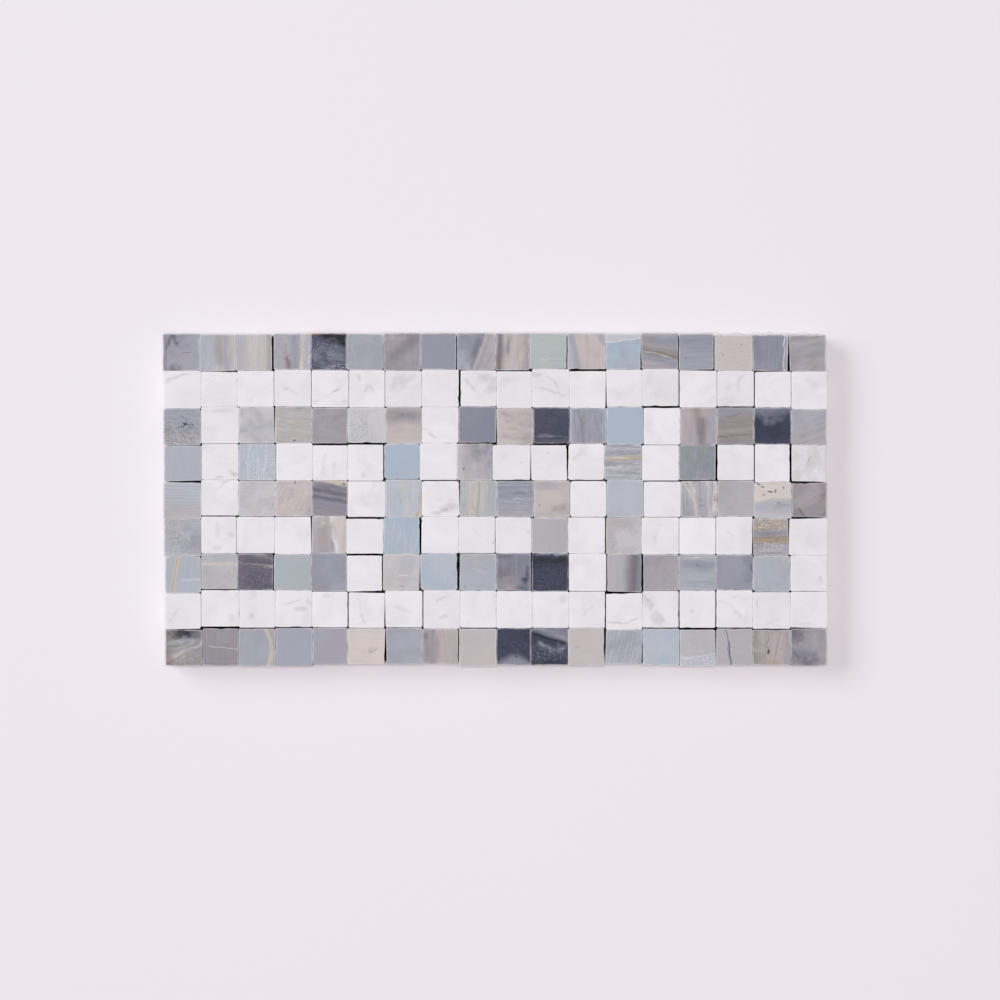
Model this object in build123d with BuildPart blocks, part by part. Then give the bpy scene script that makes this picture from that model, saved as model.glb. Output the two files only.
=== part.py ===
"""Marble border tile: sawn marble chips laid by hand as a running key pattern and
glued on an open glass fibre net.

The tile lies on its back. X runs along the border, Y across it and Z out of the face.
The origin is in the middle of the back, on the surface that the tile lies on.
All sizes are in millimetres. Rows count from the top edge down, columns from the left.
"""
import os

from build123d import *

# The chips
chip_side = 15.0  # nominal side of a sawn chip
chip_thickness = 10.0
joint = 0.3  # nominal joint between two chips
corner_wear = 0.45  # how much of each side the tumbling took at an upright corner
deep_corner_wear = 0.85  # the same on the chips that tumbled longest
arris = 0.25  # worn edge all round the face
slip_step = 0.25  # one step of the slip charts

# The net
mesh_size = 5.0  # from thread to thread
thread_width = 0.8
thread_thickness = 0.3
net_turn = 0.25  # degrees, the net was cut a little askew
net_rise = 0.3  # and glued a little high
net_margin = 0.2  # how far the net stays back from the nominal edge of the tile

# Which stone lies where. A row of letters is a row of chips.
stone_names = {
    "W": "white_chips",
    "S": "sky_blue_chips",
    "G": "silver_sage_chips",
    "B": "slate_blue_chips",
    "L": "lilac_grey_chips",
    "T": "taupe_chips",
    "E": "cream_chips",
    "O": "ochre_banded_chips",
    "P": "plum_chips",
    "C": "charcoal_chips",
}
stone_chart = (
    "LLTLCBLBBTGTSLBEBT",
    "WWWWWWWWWWWWWWWWWW",
    "BWBTLGTWBTCBSWLTCB",
    "SWSWWWSWTWWWOWGWWW",
    "BWLTPWSWGBTWSWGGEL",
    "SWWWTWSWWWLWTWWWOW",
    "SLPGBWGSBPCWLLBBGW",
    "WWWWWWWWWWWWWWWWWW",
    "TLBBLEBTTCCTGSGLTL",
)

# How open each joint is, as shares of the nominal joint: its width at its first and at
# its second end. The first end is the upper one of an upright joint and the left one of
# a level joint.
joint_widths = {
    ".": (0.4, 0.4),  # chips push against each other
    "-": (0.8, 0.8),
    "=": (1.4, 1.4),
    "#": (2.3, 2.3),
    "@": (3.3, 2.7),  # the widest
    ">": (0.5, 1.7),  # opens towards its second end
    "<": (1.7, 0.5),
    "]": (1.0, 2.8),  # the same, but wide
    "[": (2.8, 1.0),
}
upright_joints = (
    "..#....=..=.>==.]",
    "..----.#...>.=-=-",
    "..<.....>...-....",
    "..-..=...>[.-.#=#",
    ".......<..---....",
    ".-.<..#.-..=.--><",
    "-.=..=>@.=-=#....",
    "-...=>=....=.==..",
    "-.-..].=...[>-<..",
)
level_joints = (
    ".>......-=.#..>.<.",
    "....-........#.=..",
    "---.##..=.#..-....",
    "].-..--=.=.=.==-.[",
    ".=--.#.....-.--..[",
    "..-..#..-.........",
    ".=..-]...-.-[-..--",
    ">#==---.=.-..=#==<",
)

# How far each joint lies off its ruled line, in slip steps: 5 is on the line, more is
# to the right or down, less is to the left or up. The outer edges have a place too.
upright_slips = (
    "3212423325125342544",
    "5544565577566557887",
    "4575647557777777785",
    "5667743231333456874",
    "4566646578877788896",
    "5535523355445455547",
    "7543431257457545677",
    "7576655787655555577",
    "7766746657344565576",
)
level_slips = (
    "566545444444545777",
    "565344534524324566",
    "744355443656445458",
    "744354433654566656",
    "634445244444354477",
    "723325433454444365",
    "833535433333455576",
    "823356434455744365",
    "745445465555856575",
    "667744437556357556",
)

# Chips with deeply worn corners, by row and column
worn_chips = ((1, 6), (3, 1), (4, 7), (4, 12), (5, 12), (5, 8), (7, 1), (7, 8), (7, 17))

rows = len(stone_chart)
columns = len(stone_chart[0])
pitch = chip_side + joint
tile_length = columns * pitch
tile_height = rows * pitch
net_thickness = 2 * thread_thickness


def slip(chart, line, place):
    """How far a joint lies off its ruled line."""
    return (int(chart[line][place]) - 5) * slip_step


def joint_x(row, line):
    """Where an upright joint lies. Line 0 is the left edge of the tile."""
    return line * pitch - tile_length / 2 + slip(upright_slips, row, line)


def joint_y(line, column):
    """Where a level joint lies. Line 0 is the top edge of the tile."""
    return tile_height / 2 - line * pitch - slip(level_slips, line, column)


def half_widths(chart, line, place):
    """Half the width of a joint at its two ends, or nothing at the tile's edge."""
    if 0 <= line < len(chart) and 0 <= place < len(chart[line]):
        first, second = joint_widths[chart[line][place]]
        return first * joint / 2, second * joint / 2
    return 0, 0


def chip_corners(row, column):
    """The four corners of a chip, from the upper left one round clockwise."""
    left_top, left_bottom = half_widths(upright_joints, row, column - 1)
    right_top, right_bottom = half_widths(upright_joints, row, column)
    top_left, top_right = half_widths(level_joints, row - 1, column)
    bottom_left, bottom_right = half_widths(level_joints, row, column)
    left, right = joint_x(row, column), joint_x(row, column + 1)
    top, bottom = joint_y(row, column), joint_y(row + 1, column)
    return (
        (left + left_top, top - top_left),
        (right - right_top, top - top_right),
        (right - right_bottom, bottom + bottom_right),
        (left + left_bottom, bottom + bottom_left),
    )


def sawn_chips(cells, wear):
    """Saw the chips of some cells to thickness, with worn upright corners."""
    with BuildSketch(Plane.XY.offset(net_thickness)) as outlines:
        for row, column in cells:
            Polygon(*chip_corners(row, column), align=None)
        chamfer(outlines.vertices(), wear)
    extrude(outlines.sketch, amount=chip_thickness)


def threads(count, length, along_y, level):
    """Lay parallel threads, a mesh apart, on one level of the net."""
    with BuildSketch(Plane.XY.offset(level)) as lay:
        with Locations(Location((0, net_rise), net_turn)):
            if along_y:
                with GridLocations(mesh_size, 0, count, 1):
                    Rectangle(thread_width, length)
            else:
                with GridLocations(0, mesh_size, 1, count):
                    Rectangle(length, thread_width)
    extrude(lay.sketch, amount=thread_thickness)


os.makedirs("parts", exist_ok=True)

# One node for each kind of stone
for letter, name in stone_names.items():
    cells = [
        (row, column)
        for row in range(rows)
        for column in range(columns)
        if stone_chart[row][column] == letter
    ]
    worn = [cell for cell in cells if (cell[0] + 1, cell[1] + 1) in worn_chips]
    sharp = [cell for cell in cells if cell not in worn]
    with BuildPart() as chips:
        sawn_chips(sharp, corner_wear)
        if worn:
            sawn_chips(worn, deep_corner_wear)
        chamfer(chips.faces().group_by(Axis.Z)[-1].edges(), arris)
    chips.part.label = name
    export_step(chips.part, f"parts/{name}.step")

# The net, with an odd number of threads each way so that two cross at the origin
net_length = tile_length - 2 * net_margin
net_height = tile_height - 2 * net_margin
cross_count = 2 * int((net_length - thread_width) / mesh_size / 2) + 1
long_count = 2 * int((net_height - thread_width) / mesh_size / 2) + 1

with BuildPart() as net_cross_threads:
    threads(cross_count, net_height, True, 0)
net_cross_threads.part.label = "net_cross_threads"
export_step(net_cross_threads.part, "parts/net_cross_threads.step")

with BuildPart() as net_long_threads:
    threads(long_count, net_length, False, thread_thickness)
net_long_threads.part.label = "net_long_threads"
export_step(net_long_threads.part, "parts/net_long_threads.step")
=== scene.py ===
"""Marble border tile: worn marble chips laid by hand on a glass fibre net.

Every chip gets its own stone, told in LOOKS: the ground it is cut from, the way its grain
runs, and its veins, bands, clouds and specks. Rows count from the top edge down and
columns from the left. On a chip x runs to the right and y down, both from 0 to 1.
"""

import math
from collections import namedtuple
from functools import lru_cache

import bpy
import numpy as np
from bpy.props import FloatProperty, FloatVectorProperty, PointerProperty, StringProperty
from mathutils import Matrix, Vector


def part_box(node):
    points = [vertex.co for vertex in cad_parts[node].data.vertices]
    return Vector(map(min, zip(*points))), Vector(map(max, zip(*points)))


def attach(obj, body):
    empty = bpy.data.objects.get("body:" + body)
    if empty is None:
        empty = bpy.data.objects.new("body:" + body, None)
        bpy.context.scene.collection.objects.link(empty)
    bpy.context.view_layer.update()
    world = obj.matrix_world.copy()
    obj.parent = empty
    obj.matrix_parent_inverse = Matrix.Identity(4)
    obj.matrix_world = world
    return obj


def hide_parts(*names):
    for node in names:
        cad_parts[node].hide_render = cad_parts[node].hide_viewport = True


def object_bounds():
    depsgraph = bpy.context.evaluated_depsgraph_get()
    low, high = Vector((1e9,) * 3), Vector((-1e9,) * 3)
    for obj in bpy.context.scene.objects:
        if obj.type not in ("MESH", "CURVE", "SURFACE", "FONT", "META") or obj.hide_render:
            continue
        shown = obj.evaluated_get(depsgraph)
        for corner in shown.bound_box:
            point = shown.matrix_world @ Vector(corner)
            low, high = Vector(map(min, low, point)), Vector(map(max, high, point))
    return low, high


bl_info = {
    "name": "Marble border tile",
    "version": (1, 0, 0),
    "blender": (4, 5, 0),
    "location": "3D View > Sidebar > Tile",
    "description": "Dresses a mesh-mounted marble mosaic border",
    "category": "Add Mesh",
}

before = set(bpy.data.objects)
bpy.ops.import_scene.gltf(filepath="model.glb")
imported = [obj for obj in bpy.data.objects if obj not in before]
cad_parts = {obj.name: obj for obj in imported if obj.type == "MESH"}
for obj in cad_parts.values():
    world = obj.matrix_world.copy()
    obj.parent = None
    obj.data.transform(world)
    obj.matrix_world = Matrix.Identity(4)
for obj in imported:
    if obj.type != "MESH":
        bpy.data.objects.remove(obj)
cad_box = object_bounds()
ROWS, COLUMNS = 9, 18
PALE = 0.55  # how strongly the marks in the white chips show
STRAYING = {"line": 0.14, "side": 0.22, "wisp": 0.3}  # how far a mark wanders off its line
CHIP_RIM = 0.02  # a mark that ends nearer than this to the side of a chip runs on over it
SMALL_BLOT = 0.06  # a blot is smoky if it is larger
BUMP_HEIGHT = 2e-4  # metres, as are all lengths below

# How the solids of the CAD model are read
LEVEL_TOLERANCE = 1e-5  # points this close in height lie on one level
SHORTEST_SIDE = 0.005  # a cut corner is shorter
SAME_CHIP = 1e-3  # chips whose middles are this close are the same

# The outline of a chip
CORNER_REACH = 1.5  # the curve of a worn corner starts this many cuts away from it
CORNER_BULGE = 4e-5  # and is drawn outwards by this
CORNER_POINTS = 7
SIDE_SHARES = (.06, .2, .35, .5, .65, .8, .94)  # where the points of a side lie

# The profile of a chip: how far in and how high each ring of points lies
BACK_INSETS, BACK_RISES = (4e-4, 1.2e-4, 0.0), (0, 0, 1.2e-4)
ARRIS_DEPTH = 2.5e-4  # from the arris down to the next ring
ARRIS_TURNS = (0, 22, 45, 68, 90)  # degrees
FACE_INSETS = (4e-4, 1.6e-3, 4e-3)  # the first counts from the arris
CROWN_REACH = 1.2e-3  # how far in from its edge a face falls
# How wide the pale band along an arris is: partly wear, partly painted highlight
SCUFF_AND_HIGHLIGHT_WIDTH = 1.6e-4
NICK_RARITY = 9  # the power that makes most nicks shallow

# The joints
TILE_RIM = 1.6e-3  # no joint is nearer than this to the edge of the tile
WIDEST_JOINT = 1.5e-3
FLARE = 0.42  # the share of a joint that a side leans out into it towards the back
# Painted shade: from OPEN_JOINT on, the sides and arrises of a joint are darkened, more and more
# over OPEN_SPAN
OPEN_JOINT, OPEN_SPAN = 2e-4, 4e-4  # from here on a joint shows its dark sides, more and more
# The rings that get the painted shade of a wide joint
DARK_RINGS = 8  # up to the arris
PAINTED_SHADE_SHARE = 0.97  # how much of the stone the painted shade in a joint covers

# The net
YARN_WIDTH, YARN_SIDES = 8e-4, 6
YARN_SWELL = 1.05  # how thick a yarn is, in thicknesses of its thread
YARN_POINTS = 5  # to each mesh
YARN_DRIFT = 1e-4  # how far a yarn strays to the side
YARN_FLOOR = 1e-5  # the lowest that a yarn gets
FIBRE_STARTS = (.082, .0872, .094, .0985, .1045, .11, .1145, .12, .1225)  # along the border
FIBRE_REACH = (0.007, 0.016)  # the least and the most
FIBRE_HEIGHT, FIBRE_SWAY = 3e-4, 2e-4
FIBRE_SIZE, FIBRE_SIDES, FIBRE_POINTS = (1.6e-4, 1.4e-4), 5, 18

# The pads of glue: rings from the chip down to the bottom
PAD_RADII = (0.0055, 0.0009, 0.0004)  # the least, and what is added at random
PAD_POINTS = 20
PAD_SHARES, PAD_RISES = (1.0, 1.03, 0.9, 0.55), (0, -6e-5, -1.8e-4, -2.2e-4)
PAD_DEPTH, PAD_ROUGHNESS = 2.4e-4, 8e-5

# The studio
FLOOR_REACH, FLOOR_POINTS, FLOOR_DEPTH = 1.6, 9, 2e-5
SENSOR_WIDTH, FOCAL_LENGTH = 36, 90  # millimetres
VIEW_WIDTH = 0.4161  # what the picture spans in the plane of the faces
VIEW_MIDDLE = (0.00198, -0.00023)


def tone(name, code, use):
    """A colour property, from the six hex digits of the colour as it looks in daylight."""
    parts = np.array([int(code[i:i + 2], 16) for i in (0, 2, 4)]) / 255
    linear = np.where(parts <= 0.04045, parts / 12.92, ((parts + 0.055) / 1.055) ** 2.4)
    return FloatVectorProperty(name=name, description=use, subtype="COLOR", size=3,
                               min=0, max=1, default=tuple(map(float, linear)))


def length(name, default, use):
    """A property for a length in metres."""
    return FloatProperty(name=name, description=use, default=default, min=0, unit="LENGTH")


class StoneTones(bpy.types.PropertyGroup):
    # Snow is also the pale of the arrises, which is partly scuffing and partly painted highlight
    snow: tone("Snow", "F6F2F7", "Scuffed arrises and the whitest veins")
    white: tone("White", "ECE6ED", "Ground of the white chips")
    pearl: tone("Pearl", "DAD6DD", "Clouds in the white chips")
    veil: tone("Veil", "B6B2BA", "Veins in the white chips")
    silver: tone("Silver", "C6C3C8", "Pale neutral grey")
    mist: tone("Mist", "B8BBC6", "Pale blue grey")
    sky: tone("Sky", "AAB5C6", "The bluest chips")
    haze: tone("Haze", "AFB1BC", "Light blue grey")
    cloud: tone("Cloud", "A4A5B4", "Middle blue grey")
    sage: tone("Sage", "ABB0B6", "Cool green grey")
    jade: tone("Jade", "B3B9B8", "Pale green")
    fern: tone("Fern", "8D968F", "Deeper green")
    moss: tone("Moss", "8C9196", "Dark sage")
    steel: tone("Steel", "A2A1AD", "Blue grey")
    slate: tone("Slate", "9696A4", "Slate")
    dusk: tone("Dusk", "878797", "Dark slate")
    fog: tone("Fog", "B4AFB6", "Light grey lilac")
    lilac: tone("Lilac", "A59FAA", "Lilac grey")
    mauve: tone("Mauve", "989098", "Mauve")
    taupe: tone("Taupe", "B4A9AC", "Taupe")
    beige: tone("Beige", "C2B8B8", "Warm pinkish beige")
    cream: tone("Cream", "D2C7C4", "Cream")
    sand: tone("Sand", "C8BBAC", "Golden beige veins")
    ochre: tone("Ochre", "AE9B7D", "Golden brown bands")
    rust: tone("Rust", "A67C6A", "Iron stains")
    umber: tone("Umber", "7E706C", "Brown veins and specks")
    olive: tone("Olive", "928B85", "Olive grey")
    plum: tone("Plum", "726B78", "Plum")
    night: tone("Night", "43465A", "Charcoal")
    ink: tone("Ink", "2C2B34", "The darkest veins")
    # Painted shade: this dark tone is laid over the sides and arrises of chips inside the joints,
    # where shade falls
    painted_shade: tone("Painted_shade", "1A1412", "Old dust and glue deep in the joints")
    dust: tone("Dust", "A9A6A8", "Sawing dust on cut sides")
    fibre: tone("Fibre", "E4DFD6", "Glass fibre of the net")
    glue: tone("Glue", "D9D4C8", "Dried glue under the chips")
    floor: tone("Floor", "EEE7EE", "Studio floor")


class ChipSizes(bpy.types.PropertyGroup):
    arris: length("Arris", 0.00013, "Radius of the worn edge of the face")
    nick: length("Nick", 0.0004, "How deep the worst nicks in an arris are")
    crown: length("Crown", 0.00004, "How far a face falls towards its edges")
    lean: length("Lean", 0.00005, "How far a face may lie off level, at its edge")
    # How pale the arrises are made: partly scuffing, partly painted highlight
    scuff_and_highlight: FloatProperty(name="Scuff", description="How pale the worn arrises are",
                         default=0.55, min=0, max=1, subtype="FACTOR")


class NetSizes(bpy.types.PropertyGroup):
    weave: length("Weave", 0.00013, "How far a yarn rises over the one it crosses")
    fray: length("Fray", 0.0009, "How far loose fibres reach past the top edge")


class Studio(bpy.types.PropertyGroup):
    overhead: FloatProperty(name="Overhead light", description="Power of the softbox above",
                            default=58, min=0, unit="POWER")
    key: FloatProperty(name="Key light", description="Power of the soft light at the upper left",
                       default=257, min=0, unit="POWER")
    room: FloatProperty(name="Room light", description="Strength of the light from all round",
                        default=0.12, min=0)


Mark = namedtuple("Mark", "kind tone place strength edge bow")
Stone = namedtuple("Stone", "ground second cloud angle grain marks")


def line(tone, x0, y0, x1, y1, width, strength=0.7, bow=0.0, edge=0.6):
    """A vein or band of a width, from one point to another, bowed by a share to its right."""
    return Mark("line", tone, (x0, y0, x1, y1, width), strength, edge, bow)


def band(tone, x0, y0, x1, y1, width, strength=0.7, bow=0.0):
    """A line whose edges fade."""
    return line(tone, x0, y0, x1, y1, width, strength, bow, 1.0)


def wisp(tone, x0, y0, x1, y1, width, strength=0.7, bow=0.0):
    """A smoky vein: it fades to both sides, wanders and breaks up."""
    return Mark("wisp", tone, (x0, y0, x1, y1, width), strength, 1, bow)


def side(tone, x0, y0, x1, y1, strength=0.8, edge=0.1, bow=0.0):
    """All that lies to the right of somebody who walks along a line."""
    return Mark("side", tone, (x0, y0, x1, y1), strength, edge, bow)


def blot(tone, x, y, rx, ry, strength=0.7, angle=0.0, edge=1.0):
    """A spot or cloud with two radii, turned by an angle in degrees."""
    return Mark("blot", tone, (x, y, rx, ry, angle), strength, edge, 0)


def specks(tone, x, y, rx, ry, size=0.04, strength=0.7):
    """Small spots within an oval."""
    return Mark("specks", tone, (x, y, rx, ry, size), strength, 0.5, 0)


def wash(strength, tone="pearl"):
    """A thin cloud over a whole chip."""
    return blot(tone, 0.5, 0.5, 2, 2, strength)


def vein(*place):
    """A smoky vein in a white chip."""
    return wisp("veil", *place)


def smudge(*place):
    """A cloud in a white chip."""
    return blot("veil", *place)


def ribs(tone, angle, period, strength=0.4):
    """Fine parallel stripes."""
    return Mark("ribs", tone, (angle, period), strength, 0.5, 0)


def stone(ground, second, cloud, angle=0, grain=0.1, *marks):
    """A stone of one tone that clouds over into a second, with its grain at an angle."""
    return Stone(ground, second, cloud, angle, grain, marks)


LOOKS = {
    # top row
    (1, 1): stone(
        "steel", "lilac", .6, 60, .12, blot("dusk", .3, .15, .5, .35, .6),
        wisp("plum", .25, 0, .4, .32, .07, 1), wisp("plum", .25, 0, .03, .45, .1, 1),
        line("plum", .25, 0, .42, .35, .02, .8), line("plum", .52, .5, .8, .5, .025, .6),
        blot("plum", .35, .93, .16, .1, .9), band("dusk", .03, 0, .04, 1, .12, .8)),
    (1, 2): stone(
        "haze", "steel", .6, 88, .2, side("beige", .3, 1, .36, 0, .55, .14, .17),
        wisp("beige", .42, 0, .36, .9, .06, .4, .05), band("olive", .56, 0, .58, .9, .26, .45),
        line("umber", .6, .4, .58, .95, .02, .35), band("steel", .76, 0, .76, 1, .14, .7),
        line("sand", .9, 0, .94, 1, .03, .6), band("beige", .98, 0, .98, 1, .06, .7),
        line("cream", .1, 1, .3, .72, .025, .35, .03),
        line("cream", .3, 1, .42, .6, .02, .35, .03)),
    (1, 3): stone(
        "fog", "haze", .5, 90, .2, side("cream", .5, 1, .5, 0, .35, .3),
        band("cream", .45, 0, .47, 1, .3, .5), band("olive", .93, 0, .93, 1, .12, .5),
        band("sand", .7, 0, .72, 1, .06, .5), band("sand", .3, 0, .32, 1, .04, .3)),
    (1, 4): stone(
        "fog", "steel", .8, 92, .3, band("slate", .1, 0, .15, 1, .3, .4),
        wisp("umber", .3, .25, .42, 1, .16, .95), line("umber", .36, .6, .43, .98, .04, .6),
        band("slate", .56, 0, .6, 1, .24, .8), line("cream", .8, 0, .78, 1, .12, .8),
        band("sand", .74, 0, .74, 1, .04, .4), specks("umber", .82, .5, .06, .6, .04, .8),
        line("haze", .93, 0, .92, 1, .08, .8), specks("snow", .98, .7, .05, .35, .06, .9)),
    (1, 5): stone(
        "night", "dusk", .7, 14, .9, wisp("slate", 0, .35, .5, .42, .16, .3),
        wisp("slate", .4, .5, 1, .72, .14, .45), band("dusk", .1, .9, .9, .7, .2, .3),
        line("ink", .25, .08, 1, .34, .16, .95, -.08), line("ink", .3, .02, .75, .02, .08, .9),
        band("ink", .7, .04, 1, .2, .2, .9), wisp("umber", .4, .14, .9, .3, .04, .7, -.08),
        blot("rust", .12, 0, .2, .05, .8), blot("rust", .88, 0, .14, .04, .7),
        specks("silver", .75, .94, .35, .1, .05, .8), specks("slate", .3, .4, .4, .3, .05, .6)),
    (1, 6): stone(
        "steel", "sage", .5, 100, .12, wisp("haze", .12, .3, .3, .95, .06, .6),
        line("mist", .1, .1, .2, .5, .02, .3), wisp("mist", .4, .15, .9, .3, .05, .45)),
    (1, 7): stone(
        "mauve", "lilac", .4, 85, .2, band("plum", .1, .75, .95, .05, .3, .45),
        blot("taupe", .15, .2, .4, .3, .6), band("taupe", 0, .15, .7, .1, .1, .4),
        blot("lilac", .7, .8, .4, .3, .4)),
    (1, 8): stone("slate", "slate", .2, 90, .08),
    (1, 9): stone(
        "taupe", "fog", .5, 70, .2, side("steel", .74, 0, .41, 1, .95, .03),
        blot("dusk", .15, .2, .3, .4, .7), band("dusk", .64, 0, .36, 1, .4, .75),
        band("plum", .6, .1, .4, .7, .14, .6), blot("haze", .05, .8, .25, .3, .8),
        line("sand", .78, 0, .44, 1, .05, .6), line("beige", .8, .1, .5, .95, .03, .5),
        band("mauve", .75, 1, .9, .5, .06, .5), band("lilac", .85, 1, .95, .4, .2, .4)),
    (1, 10): stone(
        "taupe", "beige", .5, 100, .35, line("plum", .16, 0, .1, 1, .16, .8, 0, .9),
        band("umber", .1, .5, .05, 1, .1, .6), wisp("plum", .43, .05, .38, .6, .07, .9),
        band("cream", .6, 0, .45, 1, .2, .4), line("umber", .92, 0, .74, 1, .02, .6),
        line("cream", .86, .3, .72, 1, .025, .6), line("cream", .96, .2, .82, 1, .02, .4),
        side("mauve", .78, 1, .97, 0, .6, .06), wisp("mauve", .3, .3, .22, 1, .05, .5)),
    (1, 11): stone(
        "jade", "sage", .5, 3, .1, wisp("silver", .1, .76, .95, .72, .04, .8),
        wisp("silver", .1, .87, .9, .84, .04, .7), wisp("silver", .2, .3, .8, .28, .03, .4)),
    (1, 12): stone(
        "beige", "taupe", .5, 88, .2, side("haze", .12, 0, .28, 1, .9, .05),
        band("slate", .1, 0, .3, 1, .14, .6), line("cream", .32, .73, 1, .71, .02, .45),
        wisp("steel", .84, 0, 1, .35, .1, .9), band("taupe", .5, 0, .55, 1, .06, .5)),
    (1, 13): stone(
        "sky", "steel", .8, 0, .08, side("silver", 1, .1, 0, .24, .9, .03),
        line("pearl", 0, .24, 1, .12, .035, .8), band("haze", .3, .8, 1, .7, .3, .5)),
    (1, 14): stone(
        "slate", "mauve", .5, 8, .3, band("taupe", 0, .02, 1, .05, .1, .6),
        band("fog", 0, .3, 1, .44, .14, .4), band("olive", 0, .4, 1, .6, .22, .7),
        wisp("umber", 0, .47, 1, .72, .06, .9, -.03),
        line("cream", .05, .5, .97, .76, .025, .75, -.04),
        specks("umber", .6, .62, .6, .12, .05, .7), side("taupe", 0, .72, 1, .95, .6, .12),
        band("slate", 0, .62, 1, .88, .12, .5)),
    (1, 15): stone(
        "slate", "cloud", .5, 2, .3, side("steel", 0, .5, 1, .48, .7, .15),
        band("dusk", 0, .18, 1, .16, .12, .35), blot("dusk", .2, .68, .035, .03, .8)),
    (1, 16): stone(
        "beige", "cream", .4, 0, .1, blot("umber", .17, .22, .025, .02, .6),
        blot("umber", .72, .27, .025, .02, .6), blot("umber", .22, .55, .03, .025, .5),
        specks("taupe", .4, .6, .6, .5, .06, .5)),
    (1, 17): stone(
        "dusk", "slate", .5, 92, .3, band("slate", .5, 0, .5, 1, .4, .4),
        line("pearl", .91, 0, .85, .25, .04, .9), line("pearl", .85, .22, .91, .45, .035, .8),
        line("pearl", .91, .42, .85, .7, .045, .9), line("silver", .86, .68, .89, 1, .05, .9),
        line("silver", .96, 0, .94, 1, .025, .7), side("steel", .88, 1, .88, 0, .5, .04),
        blot("slate", .2, .9, .4, .2, .7)),
    (1, 18): stone(
        "lilac", "olive", .9, -15, .2, band("steel", 0, .5, 1, .3, .2, .5),
        blot("beige", .8, .85, .5, .3, .3), band("olive", 0, .1, .9, .05, .1, .4),
        band("taupe", 0, .3, 1, .1, .1, .5)),
    # the key pattern
    (3, 1): stone(
        "steel", "sage", .4, 2, .3, specks("sand", .45, .85, .7, .28, .14, .8),
        specks("dusk", .55, .5, .6, .4, .12, .8), specks("umber", .3, .75, .5, .3, .07, .6),
        specks("ink", .62, .45, .2, .15, .07, .8), specks("cream", .5, .9, .7, .18, .08, .6),
        blot("ink", .58, .42, .05, .03, .9), blot("dusk", .72, .5, .04, .04, .8),
        specks("ink", .1, .7, .15, .25, .05, .6)),
    (3, 3): stone(
        "silver", "steel", .7, 80, .1, band("steel", 0, .65, 1, .5, .12, .3),
        band("silver", 0, .05, 1, .05, .15, .4)),
    (3, 4): stone(
        "taupe", "jade", .5, 8, .3, wisp("sand", 0, .35, 1, .5, .12, .6),
        wisp("sand", 0, .6, 1, .72, .08, .5), wisp("beige", 0, .15, 1, .3, .1, .5),
        line("sand", .03, 0, .03, 1, .05, .7), blot("ink", .53, .93, .03, .02, .95),
        blot("moss", .65, .02, .14, .06, .7), band("sage", .9, .1, .95, .7, .12, .4),
        specks("sage", .4, .4, .6, .5, .06, .3)),
    (3, 5): stone(
        "lilac", "mauve", .9, 0, .1, specks("fog", .4, .4, .5, .4, .05, .4),
        band("plum", .2, .3, 1, .2, .1, .15)),
    (3, 6): stone(
        "silver", "pearl", .2, 90, .15, specks("moss", .25, .6, .4, .45, .06, .45),
        specks("moss", .35, .9, .6, .2, .05, .2), specks("sage", .6, .5, .6, .6, .06, .4),
        blot("sage", .35, .75, .4, .3, .2)),
    (3, 7): stone(
        "beige", "taupe", .5, 2, .15, side("mauve", 1, .4, 0, .42, .75, .16),
        wisp("dusk", .1, .25, .9, .3, .14, .7), wisp("umber", .35, .2, .85, .22, .08, .5),
        band("beige", .2, 0, 1, .05, .12, .4)),
    (3, 9): stone("dusk", "slate", .4, 60, .08),
    (3, 10): stone(
        "beige", "taupe", .6, 4, .25, wisp("umber", .1, .14, .5, .16, .07, .5),
        wisp("mauve", .2, .35, .6, .33, .08, .6), wisp("umber", .3, .56, .6, .57, .06, .5),
        wisp("mauve", .1, .8, .7, .8, .1, .5), blot("mauve", .85, .25, .25, .3, .6),
        blot("mauve", .75, .8, .25, .2, .6)),
    (3, 11): stone(
        "night", "plum", .25, 3, .25, wisp("steel", 0, .76, 1, .86, .025, .7),
        wisp("slate", .1, .74, .6, .78, .04, .5), band("plum", 0, .95, 1, .92, .12, .4),
        specks("plum", .5, .3, .6, .4, .06, .3)),
    (3, 12): stone(
        "slate", "steel", .6, 92, .5, band("haze", .05, 0, .05, 1, .12, .5),
        wisp("moss", .24, 0, .35, 1, .1, 1), wisp("dusk", .3, .1, .36, 1, .06, .9),
        wisp("umber", .34, .2, .38, .9, .03, .5), band("lilac", .6, 0, .62, 1, .3, .5),
        side("haze", .88, 1, .88, 0, .6, .08)),
    (3, 13): stone("sky", "sky", .1, 90, .06),
    (3, 15): stone(
        "taupe", "lilac", .4, 90, .2, band("umber", .46, 0, .52, .8, .2, .5),
        band("plum", .64, .2, .58, 1, .24, .65), side("steel", .76, 1, .76, 0, .7, .14),
        band("lilac", .2, .3, .25, 1, .2, .4)),
    (3, 16): stone(
        "mauve", "olive", .6, 5, .35, side("slate", 1, .15, 0, .28, .7, .14),
        band("olive", 0, .6, 1, .5, .4, .6), band("taupe", 0, .65, 1, .58, .1, .4),
        line("umber", 0, .78, 1, .71, .025, .8), wisp("umber", .25, .3, .7, .15, .05, .5),
        specks("umber", .35, .85, .3, .1, .05, .5)),
    (3, 17): stone(
        "night", "ink", .25, 0, .12, blot("ink", .45, .6, .6, .35, .5),
        side("dusk", 1, .1, 0, .2, .75, .16), blot("dusk", .45, .12, .32, .3, .65)),
    (3, 18): stone(
        "steel", "fog", .5, -18, .2, side("taupe", 0, 1, 1, .5, .75, .2),
        wisp("mauve", .2, .85, 1, .55, .06, .7), wisp("mauve", .1, 1, 1, .78, .06, .6),
        wisp("mauve", .3, .7, 1, .45, .03, .4)),
    (4, 1): stone("haze", "sage", .4, 90, .08),
    (4, 3): stone(
        "mist", "sky", .6, 94, .35, line("cream", .33, 0, .23, 1, .03, .8, .03),
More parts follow.
